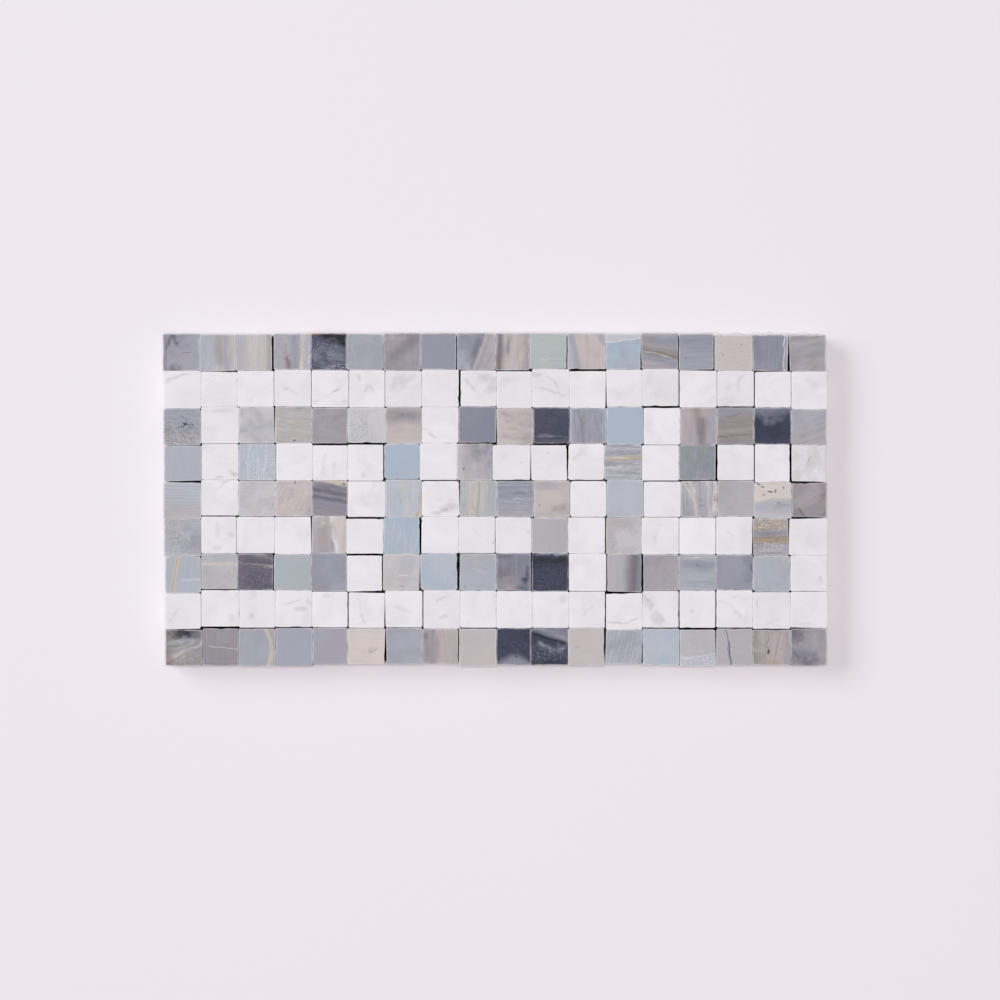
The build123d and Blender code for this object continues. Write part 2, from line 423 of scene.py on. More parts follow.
        line("cream", .4, 0, .3, 1, .02, .4), wisp("mist", .2, 0, .12, 1, .05, .6),
        wisp("pearl", .75, 0, .7, 1, .04, .4), specks("pearl", .7, .6, .45, .5, .06, .6)),
    (4, 7): stone("sky", "mist", .3, 90, .06),
    (4, 9): stone(
        "fog", "steel", .4, 80, .2, side("beige", .16, 0, .2, 1, .9, .12),
        blot("umber", .18, .68, .025, .04, .95), blot("dusk", .95, .1, .45, .5, .9),
        wisp("mauve", .4, 0, .55, .6, .3, .6), wisp("silver", .5, .5, .5, 1, .25, .4),
        band("taupe", .75, .4, .7, 1, .25, .5), band("beige", .35, .8, .4, 1, .2, .4)),
    (4, 13): stone(
        "steel", "silver", .6, 3, .7, wisp("snow", 0, .1, 1, .08, .025, .5, .05),
        wisp("silver", 0, .2, 1, .16, .03, .6, -.03), wisp("slate", 0, .3, 1, .25, .03, .6),
        line("sand", 0, .41, 1, .36, .12, .7, 0, .9), band("ochre", 0, .44, 1, .4, .05, .6),
        line("moss", 0, .5, 1, .47, .025, .6), wisp("snow", .3, .62, 1, .68, .025, .5, -.04),
        wisp("silver", 0, .66, 1, .62, .03, .5), wisp("slate", 0, .58, .9, .56, .04, .6),
        side("sage", 0, .8, 1, .82, .8, .08)),
    (4, 15): stone(
        "moss", "steel", .6, 93, .3, blot("fern", .05, .3, .25, .7, .7),
        blot("fern", .45, .05, .4, .15, .6), specks("fern", .5, .4, .7, .6, .07, .6),
        specks("slate", .7, .65, .5, .5, .07, .5), blot("slate", .5, .9, .6, .3, .6),
        blot("dusk", .78, .65, .12, .14, .95), specks("dusk", .7, .6, .4, .4, .05, .6),
        blot("fern", .62, .24, .05, .04, .9)),
    (5, 1): stone(
        "mist", "fog", .5, 1, .15, ribs("steel", 1, .085, .5),
        side("taupe", 0, .62, 1, .66, .5, .2), side("beige", 0, .88, 1, .9, .4, .1)),
    (5, 3): stone(
        "silver", "taupe", .9, 6, .15, blot("lilac", .05, .2, .4, .5, .4),
        blot("silver", .5, .3, .4, .3, .3), wisp("silver", .3, .8, .9, .6, .05, .4),
        wisp("lilac", .6, .6, 1, .45, .06, .4)),
    (5, 4): stone(
        "beige", "taupe", .5, 118, .3, line("cream", .03, 0, .02, 1, .04, .5),
        specks("cream", .55, .5, .6, .5, .07, .5), blot("plum", .54, .05, .02, .05, .95),
        wisp("mauve", .5, .2, .3, .6, .1, .6), side("mauve", .8, 1, 1, .3, .4, .2)),
    (5, 5): stone(
        "mauve", "dusk", .6, 12, .35, side("sand", 1, .17, .1, 0, .9, .03),
        blot("ink", .9, .1, .05, .02, .9, 15), band("plum", .05, .1, 1, .27, .1, .6),
        band("night", 0, .24, 1, .42, .14, .55), band("night", 0, .44, 1, .62, .1, .6),
        band("dusk", .1, .6, 1, .8, .2, .6), blot("mauve", .3, .95, .7, .12, .5),
        wisp("lilac", .1, .37, .8, .47, .025, .5)),
    (5, 7): stone(
        "mist", "silver", .5, 93, .15, line("sand", .48, 0, .43, .62, .06, .6, 0, .9),
        wisp("slate", .44, .3, .43, .65, .03, .5), side("sand", .84, 1, 1, .42, .75, .03),
        wisp("ochre", .99, .5, .88, 1, .06, .9), blot("sand", .66, .93, .08, .12, .6),
        wisp("sky", .2, .3, .18, 1, .1, .6), wisp("silver", .6, .5, .55, 1, .06, .7)),
    (5, 9): stone(
        "sage", "silver", .5, 93, .3, side("beige", .13, 1, .25, 0, .6, .04),
        band("beige", .24, 0, .18, 1, .1, .5), line("sand", .42, 0, .36, 1, .035, .7, 0, .9),
        line("ochre", .54, 0, .48, 1, .035, .6, 0, .9), line("umber", .5, .3, .46, .9, .02, .4),
        wisp("sand", .3, 0, .25, 1, .06, .6), blot("cream", .33, .85, .07, .06, .6),
        side("sage", .68, 1, .72, 0, .8, .1)),
    (5, 10): stone(
        "slate", "steel", .4, 1, .4, side("steel", 0, .5, 1, .47, .7, .1),
        wisp("dusk", 0, .38, 1, .36, .06, .8), band("dusk", 0, .18, 1, .16, .06, .4),
        wisp("mist", 0, .53, 1, .51, .03, .8), side("fog", 0, .78, 1, .8, .4, .15),
        band("steel", 0, .08, 1, .1, .1, .4)),
    (5, 11): stone(
        "beige", "taupe", .5, 4, .1, blot("umber", .85, .75, .35, .14, .45),
        blot("lilac", .3, .12, .6, .14, .6), blot("umber", .16, .66, .025, .02, .7),
        band("taupe", 0, .95, 1, .85, .14, .5), band("cream", .2, .4, .9, .45, .2, .3)),
    (5, 13): stone("mist", "haze", .6, 0, .06),
    (5, 15): stone(
        "fog", "steel", .6, 88, .35, side("dusk", .03, .3, .3, 1, .5, .2),
        line("cream", .03, 0, .38, .62, .06, .7, -.03, .9),
        wisp("cream", .25, 0, .45, .9, .06, 1), line("cream", .36, .55, .41, 1, .06, .7, 0, .9),
        wisp("silver", .32, 0, .4, .6, .08, .8), wisp("cream", .68, 0, .82, 1, .07, .9),
        wisp("moss", .5, 0, .55, 1, .05, .7), wisp("silver", .75, 0, .75, 1, .05, .7),
        line("cream", .94, 0, .89, .95, .09, .9), wisp("rust", .97, .35, .94, .9, .04, .9),
        specks("snow", .95, .4, .06, .5, .05, .8), blot("slate", .56, .53, .07, .02, .8),
        blot("slate", .56, .68, .08, .025, .8)),
    (5, 16): stone("fog", "dust", .6, 0, .08, wisp("steel", 0, .3, 1, .1, .3, .4)),
    (5, 17): stone(
        "haze", "fog", .5, 2, .15, side("cream", 1, .47, 0, .58, .95, .04, .06),
        wisp("sand", 0, .55, 1, .44, .05, .5), blot("ink", .1, .04, .07, .018, .9, 25),
        blot("ink", .22, .13, .035, .02, .9, 35), blot("ink", .42, .26, .07, .02, .9, 10),
        blot("ink", .56, .24, .018, .06, .8, 20), blot("umber", .25, .35, .045, .02, .8),
        blot("ink", .78, .15, .03, .025, .8), blot("dusk", .66, .58, .06, .03, .9, 10),
        wisp("steel", .5, .68, 1, .62, .12, .9), specks("dusk", .9, .65, .15, .05, .04, .6),
        band("silver", 0, .9, 1, .95, .2, .5)),
    (5, 18): stone(
        "mauve", "taupe", .9, -35, .2, blot("umber", 1.0, .5, .2, .7, .6),
        band("taupe", .05, .7, .6, .2, .3, .5), wisp("plum", .15, .68, .4, .98, .07, .8),
        line("dusk", .22, .78, .38, .98, .03, .6), blot("umber", .1, .9, .2, .15, .4)),
    (6, 1): stone(
        "haze", "steel", .5, 0, .12, blot("olive", .1, .3, .5, .5, .35),
        blot("taupe", .1, .15, .4, .3, .6), blot("slate", .8, .65, .35, .4, .7),
        specks("silver", .25, .6, .45, .5, .06, .8), specks("mist", .6, .15, .6, .25, .06, .7),
        specks("cream", .5, .9, .6, .14, .06, .5), band("silver", 0, .98, 1, .98, .06, .6)),
    (6, 5): stone(
        "taupe", "steel", .5, 94, .2, band("olive", .3, 0, .35, 1, .3, .3),
        blot("silver", .15, .1, .3, .2, .6), side("cream", .74, 1, .62, 0, .8, .07),
        wisp("pearl", .58, 0, .75, 1, .1, .95, .03), wisp("sand", .62, .1, .7, .5, .04, .6),
        wisp("umber", .55, .2, .62, 1, .04, .6), band("taupe", .97, 0, .93, 1, .08, .4),
        wisp("beige", .85, .3, .85, 1, .08, .6)),
    (6, 7): stone(
        "sky", "mist", .6, 96, .25, wisp("mist", .5, 0, .35, 1, .05, .6),
        wisp("haze", .15, .2, .2, 1, .06, .6)),
    (6, 11): stone("fog", "lilac", .2, 90, .1),
    (6, 13): stone("silver", "taupe", .8, 0, .05, specks("mauve", .5, .5, .7, .7, .07, .25)),
    (6, 17): stone(
        "mauve", "taupe", .5, 1, .6, side("ochre", 1, .3, 0, .3, .5, .05),
        specks("cream", .5, .18, .7, .16, .07, .9), wisp("steel", 0, .12, 1, .12, .05, .9),
        line("slate", 0, .42, 1, .4, .14, .6, 0, .9), line("ochre", 0, .58, 1, .57, .15, .65),
        specks("umber", .5, .58, .7, .2, .05, .7), line("umber", 0, .5, 1, .49, .02, .5),
        side("lilac", 0, .7, 1, .72, .8, .04), specks("snow", .5, .86, .7, .18, .06, .9),
        specks("slate", .5, .85, .7, .2, .06, .8)),
    (7, 1): stone(
        "haze", "mist", .4, 95, .12, line("sand", .37, 0, .22, 1, .12, .8, .03),
        line("umber", .36, 0, .19, 1, .015, .7, .03), wisp("beige", .43, 0, .3, 1, .03, .7, .03),
        band("pearl", .42, .64, 1, .6, .06, .45), band("mist", .4, .85, 1, .85, .3, .5)),
    (7, 2): stone(
        "fog", "silver", .4, 88, .15, side("haze", 1, .18, 0, .2, .7, .05),
        line("cream", 0, .28, 1, .3, .06, .5, 0, .9), wisp("cream", 0, .31, 1, .22, .04, .6),
        band("silver", .5, .4, .9, .35, .2, .3)),
    (7, 3): stone(
        "plum", "night", .6, 14, .4, line("beige", 0, .17, .3, .28, .02, .8, .03),
        line("ink", 0, .12, .3, .24, .03, .8, .03), line("ink", .25, .25, 1, .3, .02, .9),
        line("beige", .28, .28, 1, .33, .02, .7), wisp("beige", .7, .33, 1, .35, .06, .9),
        wisp("mauve", .4, 0, 1, .12, .1, .7), wisp("mauve", .3, .34, .9, .42, .05, .4),
        specks("mauve", .5, .7, .7, .4, .07, .3)),
    (7, 4): stone("sage", "haze", .7, 90, .05),
    (7, 5): stone("slate", "cloud", .7, 10, .08, blot("mauve", .12, .95, .4, .2, .7)),
    (7, 7): stone(
        "silver", "steel", .4, 8, .12, blot("beige", .3, .85, .8, .3, .8),
        blot("umber", .52, .88, .025, .015, .8), wisp("pearl", .4, .6, .7, .55, .04, .8),
        blot("beige", .1, .1, .3, .3, .4)),
    (7, 8): stone("mist", "sky", .9, 90, .08),
    (7, 9): stone(
        "haze", "steel", .5, 15, .1, blot("taupe", .3, .1, .5, .16, .6),
        blot("sand", .45, .2, .1, .05, .25), blot("sand", .25, .12, .06, .03, .25),
        wisp("moss", .1, .85, .25, 1, .05, .6), wisp("silver", .4, .4, .8, .6, .08, .4)),
    (7, 10): stone(
        "dusk", "plum", .9, 88, .35, blot("mauve", .15, .5, .3, .5, .2),
        blot("mauve", .35, .75, .3, .35, .4), blot("taupe", .35, .82, .2, .2, .6),
        band("slate", .6, 0, .62, 1, .1, .4), side("dusk", .62, 1, .6, 0, .8, .1),
        blot("night", .8, .7, .07, .06, .8), blot("night", .78, .95, .2, .1, .9),
        wisp("night", .95, .3, .8, .9, .12, .8), band("plum", 0, .05, .5, .08, .12, .6)),
    (7, 11): stone(
        "night", "ink", .35, 3, .3, band("ink", 0, .22, 1, .18, .3, .7),
        wisp("slate", .03, .03, .97, .03, .07, .8), specks("dusk", .5, .65, .7, .4, .04, .25),
        specks("ink", .5, .6, .7, .45, .07, .6)),
    (7, 13): stone(
        "fog", "haze", .3, 90, .15, side("lilac", .5, 1, .5, 0, .7, .3),
        band("plum", .82, 0, .78, 1, .4, .9), band("dusk", .95, 0, .92, 1, .14, .6),
        wisp("steel", .3, .2, .3, 1, .1, .5)),
    (7, 14): stone(
        "lilac", "mauve", .5, 20, .08, blot("taupe", .7, .6, .5, .4, .5),
        band("slate", .02, .1, .03, 1, .08, .5)),
    (7, 15): stone(
        "steel", "sage", .5, 4, .25, wisp("silver", 0, .12, 1, .06, .07, .95, -.03),
        band("dusk", .05, .25, 1, .3, .2, .5), blot("dusk", .52, .3, .05, .04, .9),
        band("sage", 0, .65, 1, .62, .2, .5), line("dusk", .05, .78, .95, .76, .02, .4),
        side("haze", 0, .85, 1, .86, .5, .1)),
    (7, 16): stone(
        "slate", "lilac", .5, 0, .08, blot("dusk", 1.0, .3, .25, .5, .95),
        blot("night", .97, .35, .05, .12, .5)),
    (7, 17): stone(
        "haze", "steel", .6, 92, .12, specks("sand", .88, .2, .16, .24, .06, .4),
        specks("silver", .95, .1, .1, .15, .05, .5)),
    # bottom row
    (9, 1): stone(
        "mauve", "olive", .6, -25, .4, blot("night", .5, .13, .5, .14, .9),
        blot("ink", .5, .1, .14, .07, .95), specks("ink", .45, .15, .5, .15, .07, .9),
        blot("umber", .08, .2, .2, .3, .9), blot("sage", .35, .42, .4, .12, .9, -15),
        wisp("umber", 0, .55, .4, .4, .1, .7), wisp("sand", .02, .88, 1, .35, .08, .8),
        wisp("cream", .3, .7, 1, .38, .06, .6), blot("lilac", .6, .8, .5, .25, .5),
        specks("sand", .3, .85, .5, .2, .08, .6), blot("umber", .05, .75, .15, .3, .5),
        band("umber", 0, .97, .6, 1, .08, .5)),
    (9, 2): stone(
        "mauve", "dusk", .35, 90, .15, line("silver", .08, .46, 1, .57, .018, .8),
        blot("lilac", .5, .2, .5, .2, .4), band("umber", .02, 0, .03, 1, .06, .4),
        band("umber", 0, .97, 1, .98, .06, .3)),
    (9, 3): stone(
        "steel", "sage", .5, 90, .1, side("taupe", .8, 1, .74, 0, .6, .05, .13),
        line("sand", .72, 0, .8, 1, .1, .8, -.13), wisp("umber", .84, .1, .88, .5, .04, .6, -.1)),
    (9, 4): stone("cloud", "steel", .3, 90, .08),
    (9, 5): stone("lilac", "cloud", .8, 0, .06),
    (9, 6): stone(
        "cream", "beige", .4, 4, .12, blot("olive", .64, .6, .08, .1, .5),
        wisp("olive", .55, .7, .8, .5, .05, .5), wisp("sand", 0, .55, .6, .65, .1, .6),
        wisp("snow", .6, .75, .85, .7, .05, .4), band("silver", .3, .15, 1, .1, .25, .3)),
    (9, 7): stone("steel", "haze", .6, 70, .1),
    (9, 8): stone(
        "taupe", "beige", .5, 90, .2, side("mauve", .36, 0, .34, 1, .7, .16),
        band("dusk", .3, 0, .3, 1, .12, .5), band("dusk", .12, .2, .15, .9, .1, .5),
        blot("ochre", .22, .48, .05, .07, .6), blot("umber", .1, .2, .06, .09, .6),
        band("mauve", .42, .1, .4, .9, .08, .6)),
    (9, 9): stone("beige", "veil", .5, 0, .05),
    (9, 10): stone(
        "night", "ink", .3, 0, .12, side("slate", 0, 1.02, 1, .97, .85, .14, -.24),
        specks("dusk", .5, .4, .6, .4, .07, .15), blot("ink", .58, .77, .02, .03, .8)),
    (9, 11): stone(
        "night", "ink", .4, 15, .45, side("dusk", 1, .42, 0, .02, .85, .1),
        wisp("slate", .3, .02, 1, .3, .12, .8), line("ink", .02, .13, 1, .42, .06, .9, .02, .9),
        wisp("steel", .15, .36, .95, .55, .1, .95, .09), specks("dusk", .5, .75, .6, .3, .07, .6),
        band("ink", 0, 1, 1, .95, .2, .7)),
    (9, 12): stone("beige", "silver", .4, 0, .05, blot("taupe", .25, .5, .08, .05, .6)),
    (9, 13): stone("haze", "moss", .5, 101, .3, ribs("silver", 101, .1, .2)),
    (9, 14): stone("mist", "sky", .6, 94, .1),
    (9, 15): stone(
        "fog", "silver", .5, 0, .06, side("mist", 0, .8, 1, .68, .85, .02),
        wisp("pearl", 0, .8, 1, .68, .05, .8), specks("pearl", .5, .9, .7, .16, .06, .8),
        specks("fog", .5, .92, .6, .12, .07, .5)),
    (9, 16): stone(
        "fog", "lilac", .3, 3, .08, line("night", .26, 0, .33, .36, .025, .75),
        line("night", .32, .3, .42, 1, .03, .85), wisp("plum", .33, .3, .36, .9, .04, .6)),
    (9, 17): stone(
        "taupe", "olive", .95, 92, .3, band("sage", .2, 0, .15, 1, .15, .2),
        line("moss", .38, 0, .3, 1, .025, .85), wisp("umber", .42, 0, .36, 1, .03, .6),
        line("moss", .75, 0, .55, 1, .025, .8), blot("ink", .42, .63, .03, .07, .9, 10),
        blot("ochre", .48, .93, .2, .09, .7), wisp("ochre", .5, .4, .46, 1, .08, .5),
        side("slate", .84, 1, .86, 0, .5, .06)),
    (9, 18): stone(
        "mauve", "slate", .5, 70, .2, blot("plum", .25, .8, .5, .25, .95),
        blot("plum", .1, .15, .3, .2, .9), blot("dusk", .35, .68, .25, .08, .8),
        blot("lilac", .6, .35, .35, .3, .9), blot("taupe", .9, .8, .2, .3, .5),
        side("taupe", .95, 1, .95, 0, .5, .08)),
}

# Veins and clouds of the white chips, where they show
WHITE_MARKS = {
    (2, 1): (wash(.25), vein(0, .28, .7, .06, .05, .8), vein(0, .34, .3, .22, .03, .5)),
    (2, 2): (vein(.05, .25, .5, 0, .04, .4),),
    (2, 4): (wash(.45), smudge(.3, .52, .07, .04, .6), smudge(.5, .6, .2, .06, .4, 30)),
    (2, 5): (vein(.08, .85, .9, .38, .06, .8, .03), smudge(.65, .55, .1, .03, .8, -25),
             smudge(.9, .85, .08, .05, .6), smudge(.1, .85, .1, .06, .4)),
    (2, 6): (smudge(.28, .2, .05, .1, .8, -10), vein(.4, .66, .74, .66, .1, .8, -.2)),
    (2, 7): (wash(.6), smudge(.4, .35, .3, .2, .6, -50), blot("beige", .5, .3, .1, .2, .5),
             smudge(.7, .2, .2, .1, .5, -40)),
    (2, 8): (wash(.25),),
    (2, 9): (wash(.4), vein(.1, .2, .42, .6, .07, .8), smudge(.72, .22, .3, .14, .95, 10),
             smudge(.85, .5, .2, .14, .7, -30)),
    (2, 10): (wash(.5), smudge(.2, .3, .25, .1, .35, -30)),
    (2, 11): (wash(.3), vein(.35, .15, .72, .6, .06, .8, -.08),
              vein(.02, .5, .95, .7, .05, .8, -.04), smudge(.1, .15, .15, .06, .7)),
    (2, 13): (wash(.2), smudge(.35, .6, .25, .12, .3)),
    (2, 14): (wash(.7), smudge(.35, .35, .25, .15, .4, 40), smudge(.5, .7, .3, .15, .5)),
    (2, 15): (vein(.75, .85, .95, .65, .05, .4),),
    (2, 16): (wash(.55), vein(.75, .1, .6, .6, .1, .7, .1), smudge(.3, .4, .12, .12, .5),
              smudge(.3, .85, .25, .1, .5)),
    (2, 18): (smudge(.6, .3, .25, .1, .4, 20),),
    (3, 2): (wash(.45), vein(.05, .6, .6, .58, .05, .6), smudge(.55, .1, .3, .05, .5)),
    (3, 8): (vein(.02, .6, .2, .66, .06, .95), vein(.18, .66, .45, .86, .08, .95)),
    (3, 14): (blot("snow", .6, .5, 1, 1, .3), smudge(.12, .5, .12, .5, .3)),
    (4, 2): (wash(.3), wisp("taupe", .7, .75, .98, .9, .08, .8), smudge(.9, .85, .1, .06, .8),
             blot("taupe", .5, .93, .12, .05, .6), smudge(.2, .15, .2, .1, .5),
             vein(.2, .5, .9, .6, .06, .4)),
    (4, 4): (vein(.3, .7, .7, .85, .04, .2),),
    (4, 5): (vein(.35, .2, .3, .9, .09, .5), vein(.6, .4, .62, .95, .08, .5)),
    (4, 6): (smudge(.45, .85, .08, .1, .7), wisp("beige", .2, .3, .6, .7, .04, .3)),
    (4, 10): (wash(.55), smudge(.75, .5, .05, .03, .6), blot("beige", .2, .35, .2, .1, .4)),
    (4, 11): (wash(.25), blot("beige", .47, .22, .05, .035, .9),
              specks("veil", .4, .7, .4, .3, .08, .35), specks("veil", .4, .2, .4, .2, .06, .3)),
    (4, 12): (wisp("sand", .08, .45, .5, .16, .12, .6), vein(.1, .45, .25, .4, .04, .5)),
    (4, 16): (vein(.25, .2, .9, .4, .04, .5),),
    (4, 17): (smudge(.5, .12, .14, .1, .6), vein(.6, .75, .68, .85, .05, .5)),
    (4, 18): (wash(.9), blot("beige", .5, .5, .9, .9, .9),
              wisp("mauve", .42, .55, .6, .3, .07, .8), vein(.25, .8, .75, .25, .05, .5)),
    (5, 2): (vein(.3, .3, .7, .02, .05, .7), smudge(.6, .03, .15, .05, .4)),
    (5, 6): (vein(.3, .4, .5, .75, .06, .5), smudge(.6, .5, .4, .2, .3)),
    (5, 8): (smudge(.7, .75, .24, .12, .9, -12), smudge(.4, .9, .14, .06, .8),
             blot("mauve", .6, .82, .12, .05, .6), smudge(.6, .55, .2, .1, .3)),
    (5, 14): (wash(.25), smudge(.6, .2, .2, .1, .2)),
    (6, 2): (wash(.2), wisp("beige", .5, .12, .47, .6, .1, .7), smudge(.45, .85, .12, .08, .5),
             smudge(.85, .5, .12, .08, .6)),
    (6, 6): (wash(.2),),
    (6, 9): (wash(.55), vein(.4, .35, .85, .75, .04, .4), blot("taupe", .95, .7, .03, .06, .8)),
    (6, 10): (wash(.4), blot("beige", .93, .4, .05, .06, .6)),
    (6, 14): (vein(.5, .1, .3, .7, .06, .5), smudge(.35, .5, .1, .1, .3)),
    (6, 15): (wash(.5, "snow"),),
    (6, 16): (vein(.25, .35, .5, .5, .05, .6), vein(.75, .45, .98, .35, .1, .5),
              wash(.12, "mist")),
    (6, 18): (wash(.4), smudge(.7, .5, .3, .25, .3, -40), wisp("beige", 0, .45, .3, .5, .05, .4)),
    (7, 18): (wash(.4), smudge(.8, .65, .06, .08, .6), vein(.3, .15, .75, .3, .1, .5),
              specks("veil", .8, .7, .15, .12, .06, .6)),
    (8, 1): (wash(.2), vein(.05, .8, .4, .38, .05, .7, .04)),
    (8, 2): (wash(.15), vein(.9, .05, .97, .2, .07, .8), smudge(.8, .75, .08, .12, .5)),
    (8, 3): (wash(.55), smudge(.35, .68, .07, .06, .9), smudge(.4, .1, .1, .1, .6)),
    (8, 4): (wash(.25), vein(.1, .4, .8, .26, .06, .7), smudge(.7, .5, .18, .06, .7),
             smudge(.9, .3, .06, .1, .6)),
    (8, 5): (wash(.25, "snow"), smudge(.4, .12, .12, .06, .4)),
    (8, 6): (vein(.22, .12, .45, .98, .05, .95, -.04), vein(.26, .85, .3, .9, .04, .6),
             vein(.3, .6, .4, .9, .05, .3)),
    (8, 7): (smudge(.45, .5, .3, .06, .35, 20),),
    (8, 8): (wash(.35), vein(.3, .25, .75, .1, .08, .7), smudge(.55, .7, .14, .07, .6, -20),
             vein(.6, .6, .95, .45, .07, .5)),
    (8, 11): (smudge(.85, .2, .1, .14, .5),),
    (8, 12): (wash(.2), vein(.35, .7, .7, .35, .05, .5), vein(.7, .35, .9, .15, .05, .3)),
    (8, 13): (vein(.1, .84, .95, .68, .05, .9, .05), smudge(.2, .8, .2, .04, .4)),
    (8, 14): (wash(.4), wisp("dusk", .02, .12, .2, .35, .08, .7),
              wisp("dusk", .3, .35, .22, .6, .06, .9), smudge(.2, .25, .2, .2, .6),
              smudge(.45, .8, .25, .15, .8, 30), vein(.3, .5, .6, .9, .1, .7)),
    (8, 15): (wash(.15), smudge(.35, .55, .05, .06, .5)),
    (8, 16): (wash(.35), vein(.05, .2, .75, .8, .06, .7, -.04), vein(.4, .15, .9, .25, .08, .5),
              blot("beige", .7, .8, .2, .1, .3)),
    (8, 17): (wash(.55), vein(.2, .1, .15, .75, .06, .8, .08), vein(.3, .85, .8, .72, .08, .6)),
    (8, 18): (wash(.2), smudge(.4, .9, .3, .06, .3)),
}


class Px:
    """A number or colour that changes over a surface: the output socket of a node. Python's
    own operators work on numbers, and each adds the Math node that does it."""

    def __init__(self, look, socket):
        self.look, self.socket = look, socket

    def math(self, operation, *values):
        """The result of a Math node on some values, which may be sockets."""
        node = self.look.node("ShaderNodeMath", {"operation": operation}, dict(enumerate(values)))
        return Px(self.look, node.outputs[0])

    def __add__(self, other): return self.math("ADD", self, other)
    def __radd__(self, other): return self.math("ADD", other, self)
    def __sub__(self, other): return self.math("SUBTRACT", self, other)
    def __rsub__(self, other): return self.math("SUBTRACT", other, self)
    def __mul__(self, other): return self.math("MULTIPLY", self, other)
    def __rmul__(self, other): return self.math("MULTIPLY", other, self)
    def __truediv__(self, other): return self.math("DIVIDE", self, other)
    def __rtruediv__(self, other): return self.math("DIVIDE", other, self)
    def __abs__(self): return self.math("ABSOLUTE", self)
    def sine(self): return self.math("SINE", self)
    def least(self, other): return self.math("MINIMUM", self, other)
    def most(self, other): return self.math("MAXIMUM", self, other)

    def rise(self, start, end, low=0, high=1):
        """0 up to start and 1 from end on, or low and high, with a smooth rise between them."""
        node = self.look.node("ShaderNodeMapRange", {"interpolation_type": "SMOOTHSTEP"},
                              {"Value": self, "From Min": start, "From Max": end,
                               "To Min": low, "To Max": high})
        return Px(self.look, node.outputs["Result"])

    def fall(self, start, end):
        """1 up to start and 0 from end on, with a smooth fall between them."""
        return self.rise(start, end, 1, 0)

    def mix(self, colour, share):
        """This colour with a share of another laid over it."""
        return self.look.blend(self, colour, share)

    def shade(self, amount):
        """This colour made lighter or darker by an amount, through Vector Math."""
        node = self.look.node("ShaderNodeVectorMath", {"operation": "SCALE"},
                              {0: self, "Scale": amount})
        return Px(self.look, node.outputs[0])

    def parts(self):
        """The three numbers that a place or colour is made of."""
        node = self.look.node("ShaderNodeSeparateXYZ", {}, {0: self})
        return [Px(self.look, part) for part in node.outputs]


class Look:
    """One material while it is being made."""

    def __init__(self, name):
        self.material = bpy.data.materials.new(name)
        self.material.use_nodes = True
        self.tree = self.material.node_tree
        self.tree.nodes.clear()
        self.tones = bpy.context.scene.stone_tones

    def node(self, kind, settings, inputs):
        """Adds a node: its settings first, then a value or a link for each named socket."""
        node = self.tree.nodes.new(kind)
        for key, value in settings.items():
            setattr(node, key, value)
        for key, value in inputs.items():
            if isinstance(value, Px):
                self.tree.links.new(value.socket, node.inputs[key])
            else:
                node.inputs[key].default_value = value
        return node

    def colour(self, name):
        """A tone as the value of a colour socket."""
        return (*getattr(self.tones, name), 1.0)

    def blend(self, first, second, share):
        """A Mix node: the first of two colours with a share of the second."""
        node = self.node("ShaderNodeMix", {"data_type": "RGBA"}, {0: share, 6: first, 7: second})
        return Px(self, node.outputs[2])

    def flat(self, name):
        """A tone as a socket, for a Mix node to start from."""
        return self.blend(self.colour(name), self.colour(name), 0.0)

    def place(self, at=None, location=(0, 0, 0), angle=0.0, scale=(1, 1, 1)):
        """Coordinates seen from another frame: moved to its corner, turned, and in its units."""
        at = at or Px(self, self.node("ShaderNodeTexCoord", {}, {}).outputs["Object"])
        node = self.node("ShaderNodeMapping", {"vector_type": "TEXTURE"}, {
            "Vector": at, "Location": location, "Rotation": (0, 0, angle), "Scale": scale})
        return Px(self, node.outputs[0])

    def noise(self, at, scale, detail=3.0, rough=0.5, warp=0.0, out="Fac"):
        """Clouds, as many across one unit as the scale says."""
        node = self.node("ShaderNodeTexNoise", {}, {
            "Vector": at, "Scale": scale, "Detail": detail, "Roughness": rough,
            "Distortion": warp})
        return Px(self, node.outputs[out])

    def lumps(self, at, size, detail, rough):
        """Clouds of a size in metres."""
        return self.noise(self.place(at, scale=(size,) * 3), 1.0, detail, rough)

    def layer(self, name):
        """An attribute of the surface, such as how worn it is at each point."""
        node = self.node("ShaderNodeAttribute", {"attribute_name": name}, {})
        return Px(self, node.outputs["Fac"])

    def finish(self, colour, roughness, height, bump, specular=0.1, sheen=0.0):
        """The shader: varying colour, roughness and bump, with the rest set on its sockets."""
        relief = self.node("ShaderNodeBump", {}, {
            "Strength": bump, "Distance": BUMP_HEIGHT, "Height": height})
        shader = self.node("ShaderNodeBsdfPrincipled", {}, {
            "Base Color": colour, "Roughness": roughness, "Normal": Px(self, relief.outputs[0]),
            "Specular IOR Level": specular, "Sheen Weight": sheen})
        out = self.node("ShaderNodeOutputMaterial", {}, {})
        self.tree.links.new(shader.outputs[0], out.inputs["Surface"])
        return self.material


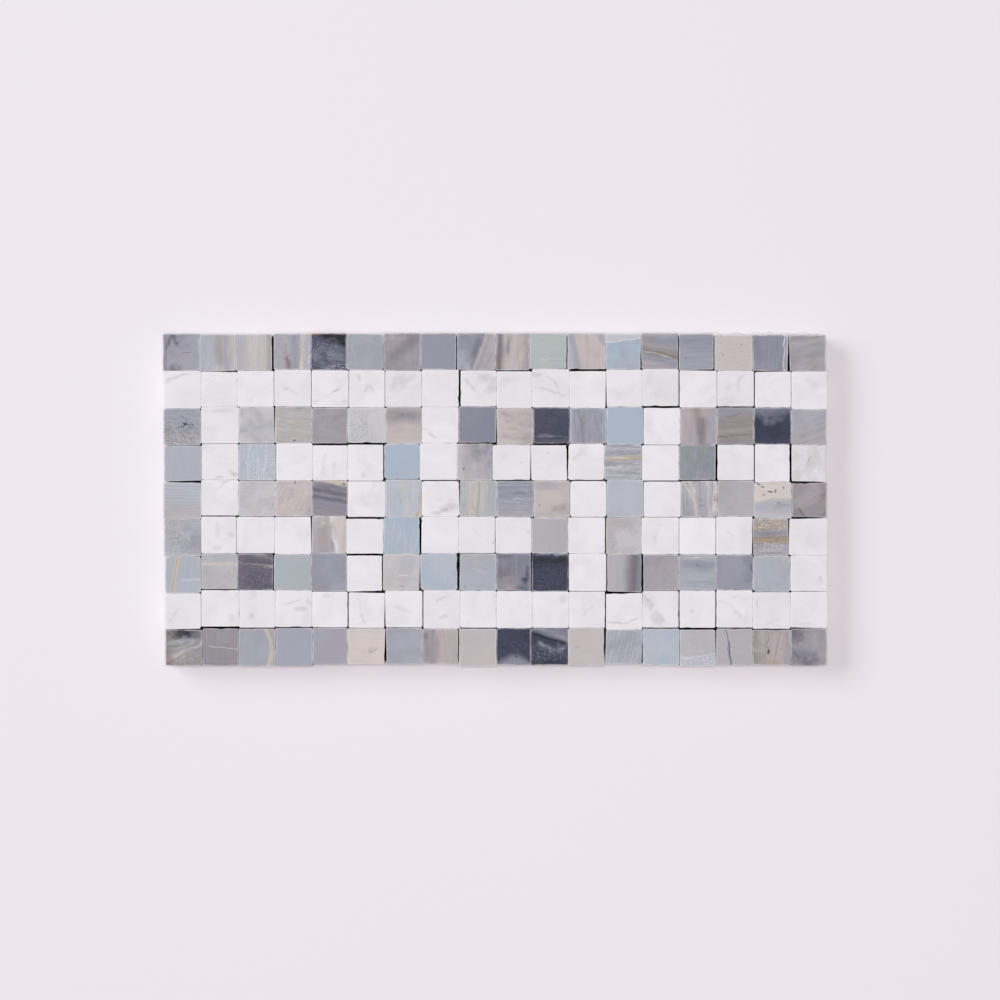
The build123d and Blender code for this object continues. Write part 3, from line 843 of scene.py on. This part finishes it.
def mark_mask(look, at, spot, stray, patchy, mark):
    """How much of a mark shows at each point of a chip. stray bends it, patchy breaks it up.
    A mark along a line is worked out in a frame that runs along it, a spot in a frame in
    which it is a circle. A wisp falls off as 1.15 / (1 + (off / half)^2) - 0.15, and an end
    that lies inside the chip tapers off."""
    place = mark.place
    if mark.kind in STRAYING:
        x0, y0, x1, y1 = place[:4]
        turn, reach = math.atan2(y1 - y0, x1 - x0), math.hypot(x1 - x0, y1 - y0)
        along, off, _ = look.place(at, (x0, y0, 0), turn, (reach, 1, 1)).parts()
        off = off + (stray - 0.5) * STRAYING[mark.kind]
        if mark.bow:
            off = off - along * (1 - along) * (4 * mark.bow)
        if mark.kind == "side":
            return off.rise(-mark.edge, mark.edge) * patchy
        half = place[4] / 2
        if mark.kind == "wisp":
            off = off * (1 / half)
            mask = (1.15 / (off * off + 1) - 0.15).most(0) * patchy
        else:
            mask = abs(off).fall(half * (1 - mark.edge), half * (1 + mark.edge)) * patchy
        if CHIP_RIM < min(x0, 1 - x0, y0, 1 - y0):
            mask = mask * along.rise(-0.05, 0.2)
        if CHIP_RIM < min(x1, 1 - x1, y1, 1 - y1):
            mask = mask * along.fall(0.8, 1.05)
        return mask
    if mark.kind == "ribs":
        angle, period = place
        _, off, _ = look.place(at, (0, 0, 0), math.radians(angle), (1, 1, 1)).parts()
        return ((off + (stray - 0.5) * 0.06) * (math.tau / period)).sine().rise(0.1, 1.0) * patchy
    x, y, rx, ry, turn = place if mark.kind == "blot" else (*place[:4], 0)
    u, v, _ = look.place(at, (x, y, 0), math.radians(turn), (rx, ry, 1)).parts()
    ragged = 1.5 + 12 * min(rx, ry, 0.3)
    mask = (u * u + v * v + (stray - 0.5) * ragged).fall(1 - mark.edge, 1 + mark.edge) * patchy
    if mark.kind == "specks":
        mask = mask * look.noise(spot, 1.3 / place[4], 3, 0.65, 0.4).rise(0.48, 0.66)
    return mask


def chip_look(name, row, column, corner, size, top, sizes):
    """The marble of one chip, in coordinates that run from its upper left corner."""
    any_angle = (row * 37 + column * 61) % 180
    white = stone("white", "pearl", .5, any_angle, .02, *WHITE_MARKS.get((row, column), ()))
    recipe = LOOKS.get((row, column), white)
    look = Look(name)
    at = look.place(None, (*corner, top), 0, (size[0], -size[1], -size[0]))

    # Each chip is cut from its own spot in the noise, so that no two are alike
    spot = look.place(at, (-3.7 * column, -2.9 * row, -1.3 * column))
    strays = look.noise(spot, 2.6, 6, 0.62, 0.2, "Color").parts()
    cloud = look.noise(spot, 1.1, 4, 0.6, 0.8)
    run = look.place(spot, (0, 0, 0), math.radians(recipe.angle), (0.6, 0.05, 0.4))
    grain = look.noise(run, 1.0, 4, 0.65)
    fine = look.noise(spot, 26.0, 3, 0.75)
    second = look.colour(recipe.second)
    colour = look.flat(recipe.ground).mix(second, cloud.rise(0.38, 0.68) * recipe.cloud)

    # The marks in their order, smoky ones broken up more than clear ones
    show = PALE if recipe.ground == "white" else 1.0
    for number, mark in enumerate(recipe.marks):
        stray, patchy = strays[number % 3], strays[(number + 1) % 3]
        cloudy = mark.kind == "blot" and SMALL_BLOT < min(mark.place[2:4]) < 1
        if mark.kind == "wisp" or cloudy:
            patchy = patchy.rise(0.36, 0.6) * 0.8 + 0.2
        else:
            patchy = (patchy * 0.9 + 0.55).least(1.0)
        mask = mark_mask(look, at, spot, stray, patchy, mark)
        colour = colour.mix(look.colour(mark.tone), mask * (mark.strength * show))
    colour = colour.shade(0.99 + (grain - 0.5) * (recipe.grain * 1.9)
                          + (fine - 0.5) * (0.06 + recipe.grain * 0.5))

    # Depth counts in chip widths: the sawn sides are dusty, and the sides and arrises within the
    # joints get painted shade
    depth = at.parts()[2]
    cut = depth.rise(0.03, 0.07)
    colour = colour.mix(look.colour("dust"), cut * (0.4 + (fine - 0.5) * 0.5))
    # The pale arrises: partly scuffed wear, partly painted highlight that lightens the shade in
    # the grooves between chips
    worn = look.layer("worn") * (strays[2].rise(0.38, 0.62) * 0.75 + 0.25)
    colour = colour.mix(look.colour("snow"), worn * sizes.scuff_and_highlight)
    # Painted shade in the joints: deep down the sides, and up to the arris where a joint is wide
    shade_reach = depth.rise(0.01, 0.05).most(look.layer("wide"))
    colour = colour.mix(look.colour("painted_shade"), look.layer("joint") * shade_reach * PAINTED_SHADE_SHARE)
    rough = 0.52 + grain * 0.12 + fine * 0.1 + cut * 0.25
    return look.finish(colour, rough, fine + grain * 0.3, 0.12)


def yarn_look():
    """Spun glass fibre: a twist along each yarn, with painted shade in its hollows."""
    look = Look("glass_fibre")
    at = look.place()
    twist = look.lumps(at, 0.0006, 3, 0.6)
    wide = look.lumps(at, 0.02, 2, 0.5)
    colour = look.flat("fibre").mix(look.colour("glue"), wide.rise(0.4, 0.65))
    # Painted shade: the low parts of the twist, the hollows of its bump, are made darker
    colour = colour.shade(0.86 + twist * 0.24)
    return look.finish(colour, 0.55 + twist * 0.2, twist, 0.5, 0.4, 0.15)


def glue_look():
    """Dried milky glue with grains of sand in it."""
    look = Look("dried_glue")
    at = look.place()
    lumps = look.lumps(at, 0.004, 4, 0.6)
    grit = look.lumps(at, 0.0003, 2, 0.6)
    colour = look.flat("glue").mix(look.colour("dust"), lumps.rise(0.4, 0.65))
    colour = colour.shade(0.9 + grit * 0.2)
    return look.finish(colour, 0.5 + lumps * 0.25, lumps + grit * 0.4, 0.4, 0.4)


def floor_look():
    """Matt white studio board with a little tooth."""
    look = Look("studio_board")
    at = look.place()
    tooth = look.lumps(at, 0.002, 3, 0.6)
    wide = look.lumps(at, 0.3, 2, 0.5)
    colour = look.flat("floor").shade(0.985 + tooth * 0.015 + wide * 0.015)
    return look.finish(colour, 0.85 + tooth * 0.1, tooth, 0.05, 0.0)


def islands(points, triangles):
    """The loose pieces of a mesh of triangles: one number for each point, the same for all
    points that its triangles join. Each point takes the lowest number of its neighbours
    until nothing changes."""
    label = np.arange(len(points))
    while True:
        low = label.copy()
        np.minimum.at(low, triangles.ravel(), np.repeat(label[triangles].min(1), 3))
        if (low == label).all():
            return label
        label = low


def node_islands(node):
    """The corner points of each loose solid of a CAD node, as a list of arrays."""
    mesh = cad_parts[node].data
    points = np.empty(len(mesh.vertices) * 3)
    mesh.vertices.foreach_get("co", points)
    mesh.calc_loop_triangles()
    triangles = np.empty(len(mesh.loop_triangles) * 3, int)
    mesh.loop_triangles.foreach_get("vertices", triangles)
    merged, where = np.unique(points.reshape(-1, 3).round(7), axis=0, return_inverse=True)
    label = islands(merged, where.ravel()[triangles].reshape(-1, 3))
    return [merged[label == k] for k in np.unique(label)]


def mesh_object(name, points, faces, smooth=True):
    """An object from arrays of points and faces."""
    mesh = bpy.data.meshes.new(name)
    mesh.from_pydata(np.asarray(points).tolist(), [], faces)
    mesh.polygons.foreach_set("use_smooth", np.full(len(mesh.polygons), smooth))
    made = bpy.data.objects.new(name, mesh)
    bpy.context.scene.collection.objects.link(made)
    return made


def add_piece(name, points, faces):
    """A piece of the tile, on its root body."""
    piece = mesh_object(name, points, faces)
    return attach(piece, "root")


def rounded(corners, cut):
    """The outline of chips with rounded corners. Each corner is a quadratic curve,
    start * (1 - t)^2 + corner * 2 t (1 - t) + end * t^2, that starts and ends a few cuts away
    from it along its sides, and between two corners the outline is straight. corners is
    (n, 4, 2) and the outline (n, 56, 2)."""
    back, ahead = np.roll(corners, 1, 1) - corners, np.roll(corners, -1, 1) - corners
    corners = corners + np.sign(corners - corners.mean(1, keepdims=True)) * CORNER_BULGE
    reach = (CORNER_REACH * cut)[:, None, None]
    start = corners + back / np.linalg.norm(back, axis=2, keepdims=True) * reach
    end = corners + ahead / np.linalg.norm(ahead, axis=2, keepdims=True) * reach
    t, s = np.linspace(0, 1, CORNER_POINTS)[:, None], np.array(SIDE_SHARES)[:, None]
    turn = ((1 - t) ** 2 * start[:, :, None] + 2 * t * (1 - t) * corners[:, :, None]
            + t ** 2 * end[:, :, None])
    straight = end[:, :, None] * (1 - s) + np.roll(start, -1, 1)[:, :, None] * s
    return np.concatenate([turn, straight], 2).reshape(len(corners), -1, 2)


def cross(a, b):
    """The cross products of two lists of directions in the plane."""
    return a[:, 0] * b[:, 1] - a[:, 1] * b[:, 0]


@lru_cache(maxsize=None)
def sawn_chips(kind):
    """What the CAD model says of the chips of one kind, in reading order: the corners that the
    straight sides of each would meet in, clockwise in the plan, how much is cut off them, the
    cell that each chip fills, and the heights of back and face."""
    low, high = cad_box
    pitch = (high.x - low.x) / COLUMNS, (high.y - low.y) / ROWS
    chips = []
    for solid in node_islands(kind):
        floor, top = solid[:, 2].min(), solid[:, 2].max()
        flat = solid[solid[:, 2] < floor + LEVEL_TOLERANCE][:, :2]
        middle = (flat.max(0) + flat.min(0)) / 2
        # In order round the middle, starting with a straight side and not with a cut corner
        flat = flat[np.argsort(np.arctan2(*(flat - middle).T[::-1]))]
        lengths = np.linalg.norm(np.roll(flat, -1, 0) - flat, axis=1)
        flat = np.roll(flat, -np.flatnonzero(lengths > SHORTEST_SIDE)[0], 0)
        starts, ways = flat[0::2], flat[1::2] - flat[0::2]
        next_starts, next_ways = np.roll(starts, -1, 0), np.roll(ways, -1, 0)
        share = cross(next_starts - starts, next_ways) / cross(ways, next_ways)
        cell = (round(ROWS / 2 + 0.5 - middle[1] / pitch[1]),
                round(COLUMNS / 2 + 0.5 + middle[0] / pitch[0]))
        chips.append((cell, starts + ways * share[:, None], lengths.min() / math.sqrt(2)))
    chips.sort(key=lambda chip: chip[0])
    cells, corners, cuts = zip(*chips)
    if len(set(cells)) != len(cells):
        raise RuntimeError(f"two chips of {kind} share a cell")
    return np.array(corners), np.array(cuts), cells, floor, top


def joint_gaps(outline, corners):
    """How wide the joint is beside each point of an outline: the least distance to a side of
    any other chip, by the distance of a point to a segment, |d - w * clip(d.w / w.w, 0, 1)|."""
    kinds = [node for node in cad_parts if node.endswith("_chips")]
    others = np.concatenate([sawn_chips(kind)[0] for kind in kinds])
    way = np.roll(others, -1, 1) - others
    d = outline[:, :, None, None] - others
    share = np.clip((d * way).sum(4) / (way * way).sum(2), 0, 1)
    gap = np.linalg.norm(d - way * share[..., None], axis=4).min(3)
    apart = np.linalg.norm(corners.mean(1)[:, None] - others.mean(1), axis=2)
    return np.where(apart[:, None] < SAME_CHIP, np.inf, gap).min(2)


def block_faces(count, around, rings, down=False):
    """Faces of closed blocks, whose points run for each step round the outline along the
    profile, and end with one point that closes the first ring and one for the last. They
    look outwards where the profile runs up, and with down where it runs down."""
    step, ring, last = np.arange(around) * rings, np.arange(rings - 1), around * rings
    ahead = np.roll(step, -1)
    a, b = step[:, None] + ring, ahead[:, None] + ring
    quads = np.stack([a, b, b + 1, a + 1], 2).reshape(-1, 4)
    fans = np.concatenate([
        np.stack([ahead, step, np.full(around, last)], 1),
        np.stack([step + rings - 1, ahead + rings - 1, np.full(around, last + 1)], 1)])
    if down:
        quads, fans = quads[:, [0, 3, 2, 1]], fans[:, ::-1]
    starts = (np.arange(count) * (last + 2))[:, None, None]
    return (quads + starts).reshape(-1, 4).tolist() + (fans + starts).reshape(-1, 3).tolist()


def chip_surface(outline, gap, floor, top, sizes, rng):
    """Chips as one grid each: round the outline by the profile of a worn block. The profile
    gives an inset towards the middle and a height: a small break at the back, the sawn side,
    a quarter circle for the arris, and a face that falls by crown * exp(-inset / CROWN_REACH)
    at its edge and leans a little. The arris is wider where nicks were knocked out of it.
    Within the tile the sawn sides flare towards the back by a share of the joint. Gives the
    points, the number of rings, and for each point how worn it is, which is partly wear and
    partly painted highlight, whether it lies in a joint, and how widely jointed it is, which sets
    the painted shade in the joint."""
    n, around = outline.shape[:2]
    middle = outline.mean(1, keepdims=True)
    nicks = rng.random((n, around)) ** NICK_RARITY * sizes.nick
    soft = rng.random((n, around))
    arris = sizes.arris * (0.6 + (soft + np.roll(soft, 1, 1)) * 0.4) + nicks
    low, high = np.array(cad_box[0])[:2] + TILE_RIM, np.array(cad_box[1])[:2] - TILE_RIM
    inner = ((outline > low) & (outline < high)).all(2)
    flare = np.where(inner & (gap < WIDEST_JOINT), gap * FLARE, 0)
    zero, turns = arris * 0, np.radians(ARRIS_TURNS)
    inset = np.stack([*(back - flare for back in BACK_INSETS), zero,
                      *(arris * (1 - math.cos(turn)) for turn in turns),
                      arris + FACE_INSETS[0], *(zero + face for face in FACE_INSETS[1:])], 2)
    drop = np.stack([*[zero] * len(BACK_INSETS), arris + ARRIS_DEPTH,
                     *(arris * (1 - math.sin(turn)) for turn in turns),
                     *[zero] * len(FACE_INSETS)], 2)
    drop = drop + sizes.crown * np.exp(-inset / CROWN_REACH)
    half = np.abs(outline - middle).max(2)[..., None]
    flat = middle[:, :, None] + (outline - middle)[:, :, None] * (1 - inset / half)[..., None]
    lean = rng.uniform(-1, 1, (n, 2)) * sizes.lean
    sunk = rng.random((n, 1, 1)) * sizes.lean
    tilt = ((flat - middle[:, :, None]) / half[..., None] * lean[:, None, None]).sum(3)
    height = top - np.maximum(drop + tilt + np.abs(lean).sum(1)[:, None, None] + sunk, 0)
    height[..., :len(BACK_RISES)] = floor + np.array(BACK_RISES)
    grid = np.concatenate([flat, height[..., None]], 3)
    back = np.concatenate([middle, np.full((n, 1, 1), floor)], 2)
    crest = np.concatenate([middle, height[:, :, -1:].mean(1, keepdims=True)], 2)
    points = np.clip(np.concatenate([grid.reshape(n, -1, 3), back, crest], 1), *cad_box)
    ring = np.arange(inset.shape[2])
    # How pale each point of an arris is: partly wear, partly painted highlight
    worn = np.exp(-((inset - arris[..., None] * .5) / SCUFF_AND_HIGHLIGHT_WIDTH) ** 2)
    worn = worn * (ring >= len(BACK_INSETS))
    joint = np.repeat(inner, len(ring), 1)
    # How strongly the painted shade of a wide joint covers each ring up to the arris
    wide = np.clip((gap - OPEN_JOINT) / OPEN_SPAN, 0, 1)[..., None] * (ring < DARK_RINGS)
    layers = [np.pad(each.reshape(n, -1), ((0, 0), (0, 2))) for each in (worn, joint, wide)]
    return points, len(ring), layers


def tube(paths, across, thick, sides):
    """Yarns as grids: an ellipse, across wide in the level plane and thick high, carried along
    each path. paths is (n, k, 3)."""
    n, k = paths.shape[:2]
    ahead = np.gradient(paths, axis=1)
    side_way = np.stack([-ahead[..., 1], ahead[..., 0], np.zeros((n, k))], 2)
    side_way /= np.linalg.norm(side_way, axis=2, keepdims=True)
    turn = np.arange(sides) / sides * math.tau
    ring = (paths[:, :, None] + side_way[:, :, None] * (np.cos(turn) * across / 2)[:, None]
            + np.array([0, 0, 1.0]) * (np.sin(turn) * thick / 2)[:, None])
    i, j = np.meshgrid(np.arange(k - 1), np.arange(sides), indexing="ij")
    a, b = i * sides + j, i * sides + (j + 1) % sides
    quads = np.stack([a, a + sides, b + sides, b], 2).reshape(-1, 4)
    first = np.arange(sides)
    ends = np.stack([first, (k - 1) * sides + first[::-1]])
    starts = (np.arange(n) * k * sides)[:, None, None]
    faces = (starts + quads).reshape(-1, 4).tolist() + (starts + ends).reshape(-1, sides).tolist()
    return ring.reshape(-1, 3), faces


def thread_ends(node, axis):
    """The middles of both ends of the threads of a node that run along an axis, (n, 2, 3)."""
    ends = []
    for solid in node_islands(node):
        first = solid[:, axis] < solid[:, axis].mean()
        ends.append((solid[first].mean(0), solid[~first].mean(0)))
    return np.array(sorted(ends, key=lambda pair: pair[0][1 - axis]))


class TILE_OT_chips(bpy.types.Operator):
    """Carve the chips of one kind of stone, each with its own worn edges and marble"""
    bl_idname = "tile.chips"
    bl_label = "Marble chips"

    kind: StringProperty(name="Kind", description="The kind of stone, as its node is named")

    def execute(self, context):
        sizes = context.scene.chip_sizes
        corners, cuts, cells, floor, top = sawn_chips(self.kind)
        rng = np.random.default_rng(len(cells))
        outline = rounded(corners, cuts)
        gap = joint_gaps(outline, corners)
        points, rings, layers = chip_surface(outline, gap, floor, top, sizes, rng)
        n, around = outline.shape[:2]
        faces = block_faces(n, around, rings)
        piece = add_piece(f"worn_{self.kind}", points.reshape(-1, 3), faces)
        for name, amount in zip(("worn", "joint", "wide"), layers):
            layer = piece.data.attributes.new(name, "FLOAT", "POINT").data
            layer.foreach_set("value", amount.ravel().astype(np.float32))
        for (row, column), box in zip(cells, corners):
            corner, size = (box[:, 0].min(), box[:, 1].max()), np.ptp(box, axis=0)
            name = f"{self.kind.removesuffix('_chips')}_{row}_{column}"
            piece.data.materials.append(chip_look(name, row, column, corner, size, top, sizes))
        quads, fans = around * (rings - 1), around * 2
        piece.data.polygons.foreach_set("material_index", np.concatenate([
            np.repeat(np.arange(n), quads), np.repeat(np.arange(n), fans)]))
        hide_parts(self.kind)
        return {"FINISHED"}


class TILE_OT_net(bpy.types.Operator):
    """Weave the glass fibre net behind the chips, with its frayed ends"""
    bl_idname = "tile.net"
    bl_label = "Glass fibre net"

    def execute(self, context):
        sizes = context.scene.net_sizes
        look = yarn_look()
        axes = {"net_long_threads": 0, "net_cross_threads": 1}
        middles = {node: thread_ends(node, axis) for node, axis in axes.items()}
        mesh_size = np.diff(middles["net_long_threads"][:, 0, 1]).mean()
        level = np.mean([ends[..., 2].mean() for ends in middles.values()])
        for node, ends in middles.items():
            axis, count = axes[node], len(ends)
            low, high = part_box(node)
            thick = high.z - low.z
            meshes = np.linalg.norm(ends[0, 1] - ends[0, 0]) / mesh_size
            share = np.linspace(0, 1, round(meshes) * YARN_POINTS + 1)[None, :, None]
            paths = ends[:, :1] * (1 - share) + ends[:, 1:] * share
            # A yarn goes over and under by turns, and its neighbour the other way round
            turn = np.cos(math.pi * (share[..., 0] - 0.5) * meshes)
            turn = turn * (-1.0) ** (np.arange(count) - count // 2)[:, None]
            over = 1 if axis == 0 else -1
            paths[..., 2] = level + over * sizes.weave * turn
            rng = np.random.default_rng(count)
            waves = np.sin(share[..., 0] * 23 + rng.random((count, 1)) * 9)
            paths[..., 1 - axis] += waves * YARN_DRIFT
            points, faces = tube(paths, YARN_WIDTH, thick * YARN_SWELL, YARN_SIDES)
            lid = high.z if axis == 0 else high.z + thick
            points[:, 2] = np.clip(points[:, 2], YARN_FLOOR, lid)
            piece = add_piece(node.replace("threads", "yarns"), points, faces)
            piece.data.materials.append(look)
            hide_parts(node)

        # Loose fibres leave the last long yarn and bend over past the chips
        rng = np.random.default_rng(4)
        edge = middles["net_long_threads"][-1].mean(0)[1]
        start = np.array(FIBRE_STARTS)[:, None]
        share = np.linspace(0, 1, FIBRE_POINTS)
        reach = rng.uniform(*FIBRE_REACH, len(start))[:, None]
        rise = cad_box[1].y + sizes.fray * rng.uniform(0.2, 1, (len(start), 1)) - edge
        paths = np.stack([
            start + reach * share,
            edge + rise * np.sin(math.pi * share ** 0.8),
            FIBRE_HEIGHT + FIBRE_SWAY * np.sin(share * 7 + start * 900)], 2)
        loose = add_piece("net_loose_fibres", *tube(paths, *FIBRE_SIZE, FIBRE_SIDES))
        loose.data.materials.append(look)
        return {"FINISHED"}


class TILE_OT_glue(bpy.types.Operator):
    """Spread the glue that holds the chips on the net"""
    bl_idname = "tile.glue"
    bl_label = "Glue"

    def execute(self, context):
        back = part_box("white_chips")[0].z
        rng = np.random.default_rng(9)
        solids = [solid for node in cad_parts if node.endswith("_chips")
                  for solid in node_islands(node)]
        pads = np.array(sorted(tuple((s.max(0) + s.min(0))[:2] / 2) for s in solids))
        n, rings = len(pads), len(PAD_SHARES)
        turn = np.arange(PAD_POINTS) / PAD_POINTS * math.tau
        # Between a circle, whose power would be 0, and a square, whose power would be 1
        square = 1 / np.maximum(np.abs(np.cos(turn)), np.abs(np.sin(turn))) ** 0.7
        least, ragged, uneven = PAD_RADII
        radii = least + ragged * rng.random((n, PAD_POINTS)) + uneven * rng.random((n, 1))
        ring = (square * radii)[..., None] * PAD_SHARES
        x = pads[:, 0, None, None] + ring * np.cos(turn)[:, None]
        y = pads[:, 1, None, None] + ring * np.sin(turn)[:, None]
        rough = PAD_ROUGHNESS * rng.random((n, PAD_POINTS, rings)) * (np.arange(rings) > 0)
        z = back + np.array(PAD_RISES) - rough
        lid, foot = (np.concatenate([pads, np.full((n, 1), back - depth)], 1)[:, None]
                     for depth in (0, PAD_DEPTH))
        grid = np.stack([x, y, z], 3).reshape(n, -1, 3)
        points = np.concatenate([grid, lid, foot], 1).reshape(-1, 3)
        piece = add_piece("glue_pads", points, block_faces(n, PAD_POINTS, rings, down=True))
        piece.data.materials.append(glue_look())
        return {"FINISHED"}


class TILE_OT_stage(bpy.types.Operator):
    """Set up the floor, the soft light and the camera straight above the tile"""
    bl_idname = "tile.stage"
    bl_label = "Studio"

    def execute(self, context):
        scene, studio = context.scene, context.scene.studio
        share = np.linspace(-FLOOR_REACH, FLOOR_REACH, FLOOR_POINTS)
        x, y = np.meshgrid(share, share, indexing="ij")
        points = np.stack([x, y, np.full(x.shape, -FLOOR_DEPTH)], 2).reshape(-1, 3)
        cell = np.arange(FLOOR_POINTS - 1)
        i = (cell[:, None] * FLOOR_POINTS + cell).ravel()
        faces = np.stack([i, i + FLOOR_POINTS, i + FLOOR_POINTS + 1, i + 1], 1).tolist()
        floor = mesh_object("studio_floor", points, faces, smooth=False)
        floor.data.materials.append(floor_look())

        scene.view_settings.view_transform = "Standard"
        world = bpy.data.worlds.new("studio_room")
        world.use_nodes = True
        inputs = world.node_tree.nodes["Background"].inputs
        inputs["Color"].default_value = (1, 1, 1, 1)
        inputs["Strength"].default_value = studio.room
        scene.world = world

        # Name, power, place, width and length, tint: each looks at the origin
        softboxes = (("overhead", studio.overhead, (0.05, 0.0, 3.0), (0.9, 0.9), (1, .98, .955)),
                     ("soft_key", studio.key, (-5.3, 2.3, 3.9), (5.2, 3.3), (.9, .965, 1)))
        for name, power, place, size, tint in softboxes:
            lamp = bpy.data.lights.new(name, "AREA")
            lamp.shape, lamp.size, lamp.size_y = "RECTANGLE", *size
            lamp.energy, lamp.color = power, tint
            softbox = bpy.data.objects.new(name, lamp)
            softbox.location = place
            softbox.rotation_euler = (math.acos(place[2] / math.hypot(*place)), 0,
                                      math.atan2(place[1], place[0]) + math.pi / 2)
            scene.collection.objects.link(softbox)

        lens = bpy.data.cameras.new("camera")
        lens.sensor_width, lens.lens = SENSOR_WIDTH, FOCAL_LENGTH
        camera = bpy.data.objects.new("camera", lens)
        camera.location = (*VIEW_MIDDLE, cad_box[1].z + VIEW_WIDTH / SENSOR_WIDTH * FOCAL_LENGTH)
        scene.collection.objects.link(camera)
        scene.camera = camera
        return {"FINISHED"}


class TILE_PT_tile(bpy.types.Panel):
    """The steps that dress the tile, with their sizes and colours"""
    bl_idname = "TILE_PT_tile"
    bl_label = "Marble border tile"
    bl_space_type = "VIEW_3D"
    bl_region_type = "UI"
    bl_category = "Tile"

    def draw(self, context):
        for name in GROUPS:
            group = getattr(context.scene, name)
            box = self.layout.box()
            box.label(text=name.replace("_", " ").capitalize())
            for size in group.__annotations__:
                box.prop(group, size)
        for step in STEPS:
            self.layout.operator(step.bl_idname)


GROUPS = {"chip_sizes": ChipSizes, "net_sizes": NetSizes, "studio": Studio,
          "stone_tones": StoneTones}
STEPS = (TILE_OT_stage, TILE_OT_chips, TILE_OT_glue, TILE_OT_net)
CLASSES = (*GROUPS.values(), *STEPS, TILE_PT_tile)


def register():
    for cls in CLASSES:
        bpy.utils.register_class(cls)
    for name, group in GROUPS.items():
        setattr(bpy.types.Scene, name, PointerProperty(type=group))


def unregister():
    for name in GROUPS:
        delattr(bpy.types.Scene, name)
    for cls in reversed(CLASSES):
        bpy.utils.unregister_class(cls)


def main():
    register()
    bpy.ops.tile.stage()
    for node in sorted(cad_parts):
        if node.endswith("_chips"):
            bpy.ops.tile.chips(kind=node)
    bpy.ops.tile.glue()
    bpy.ops.tile.net()


if __name__ == "__main__":
    main()
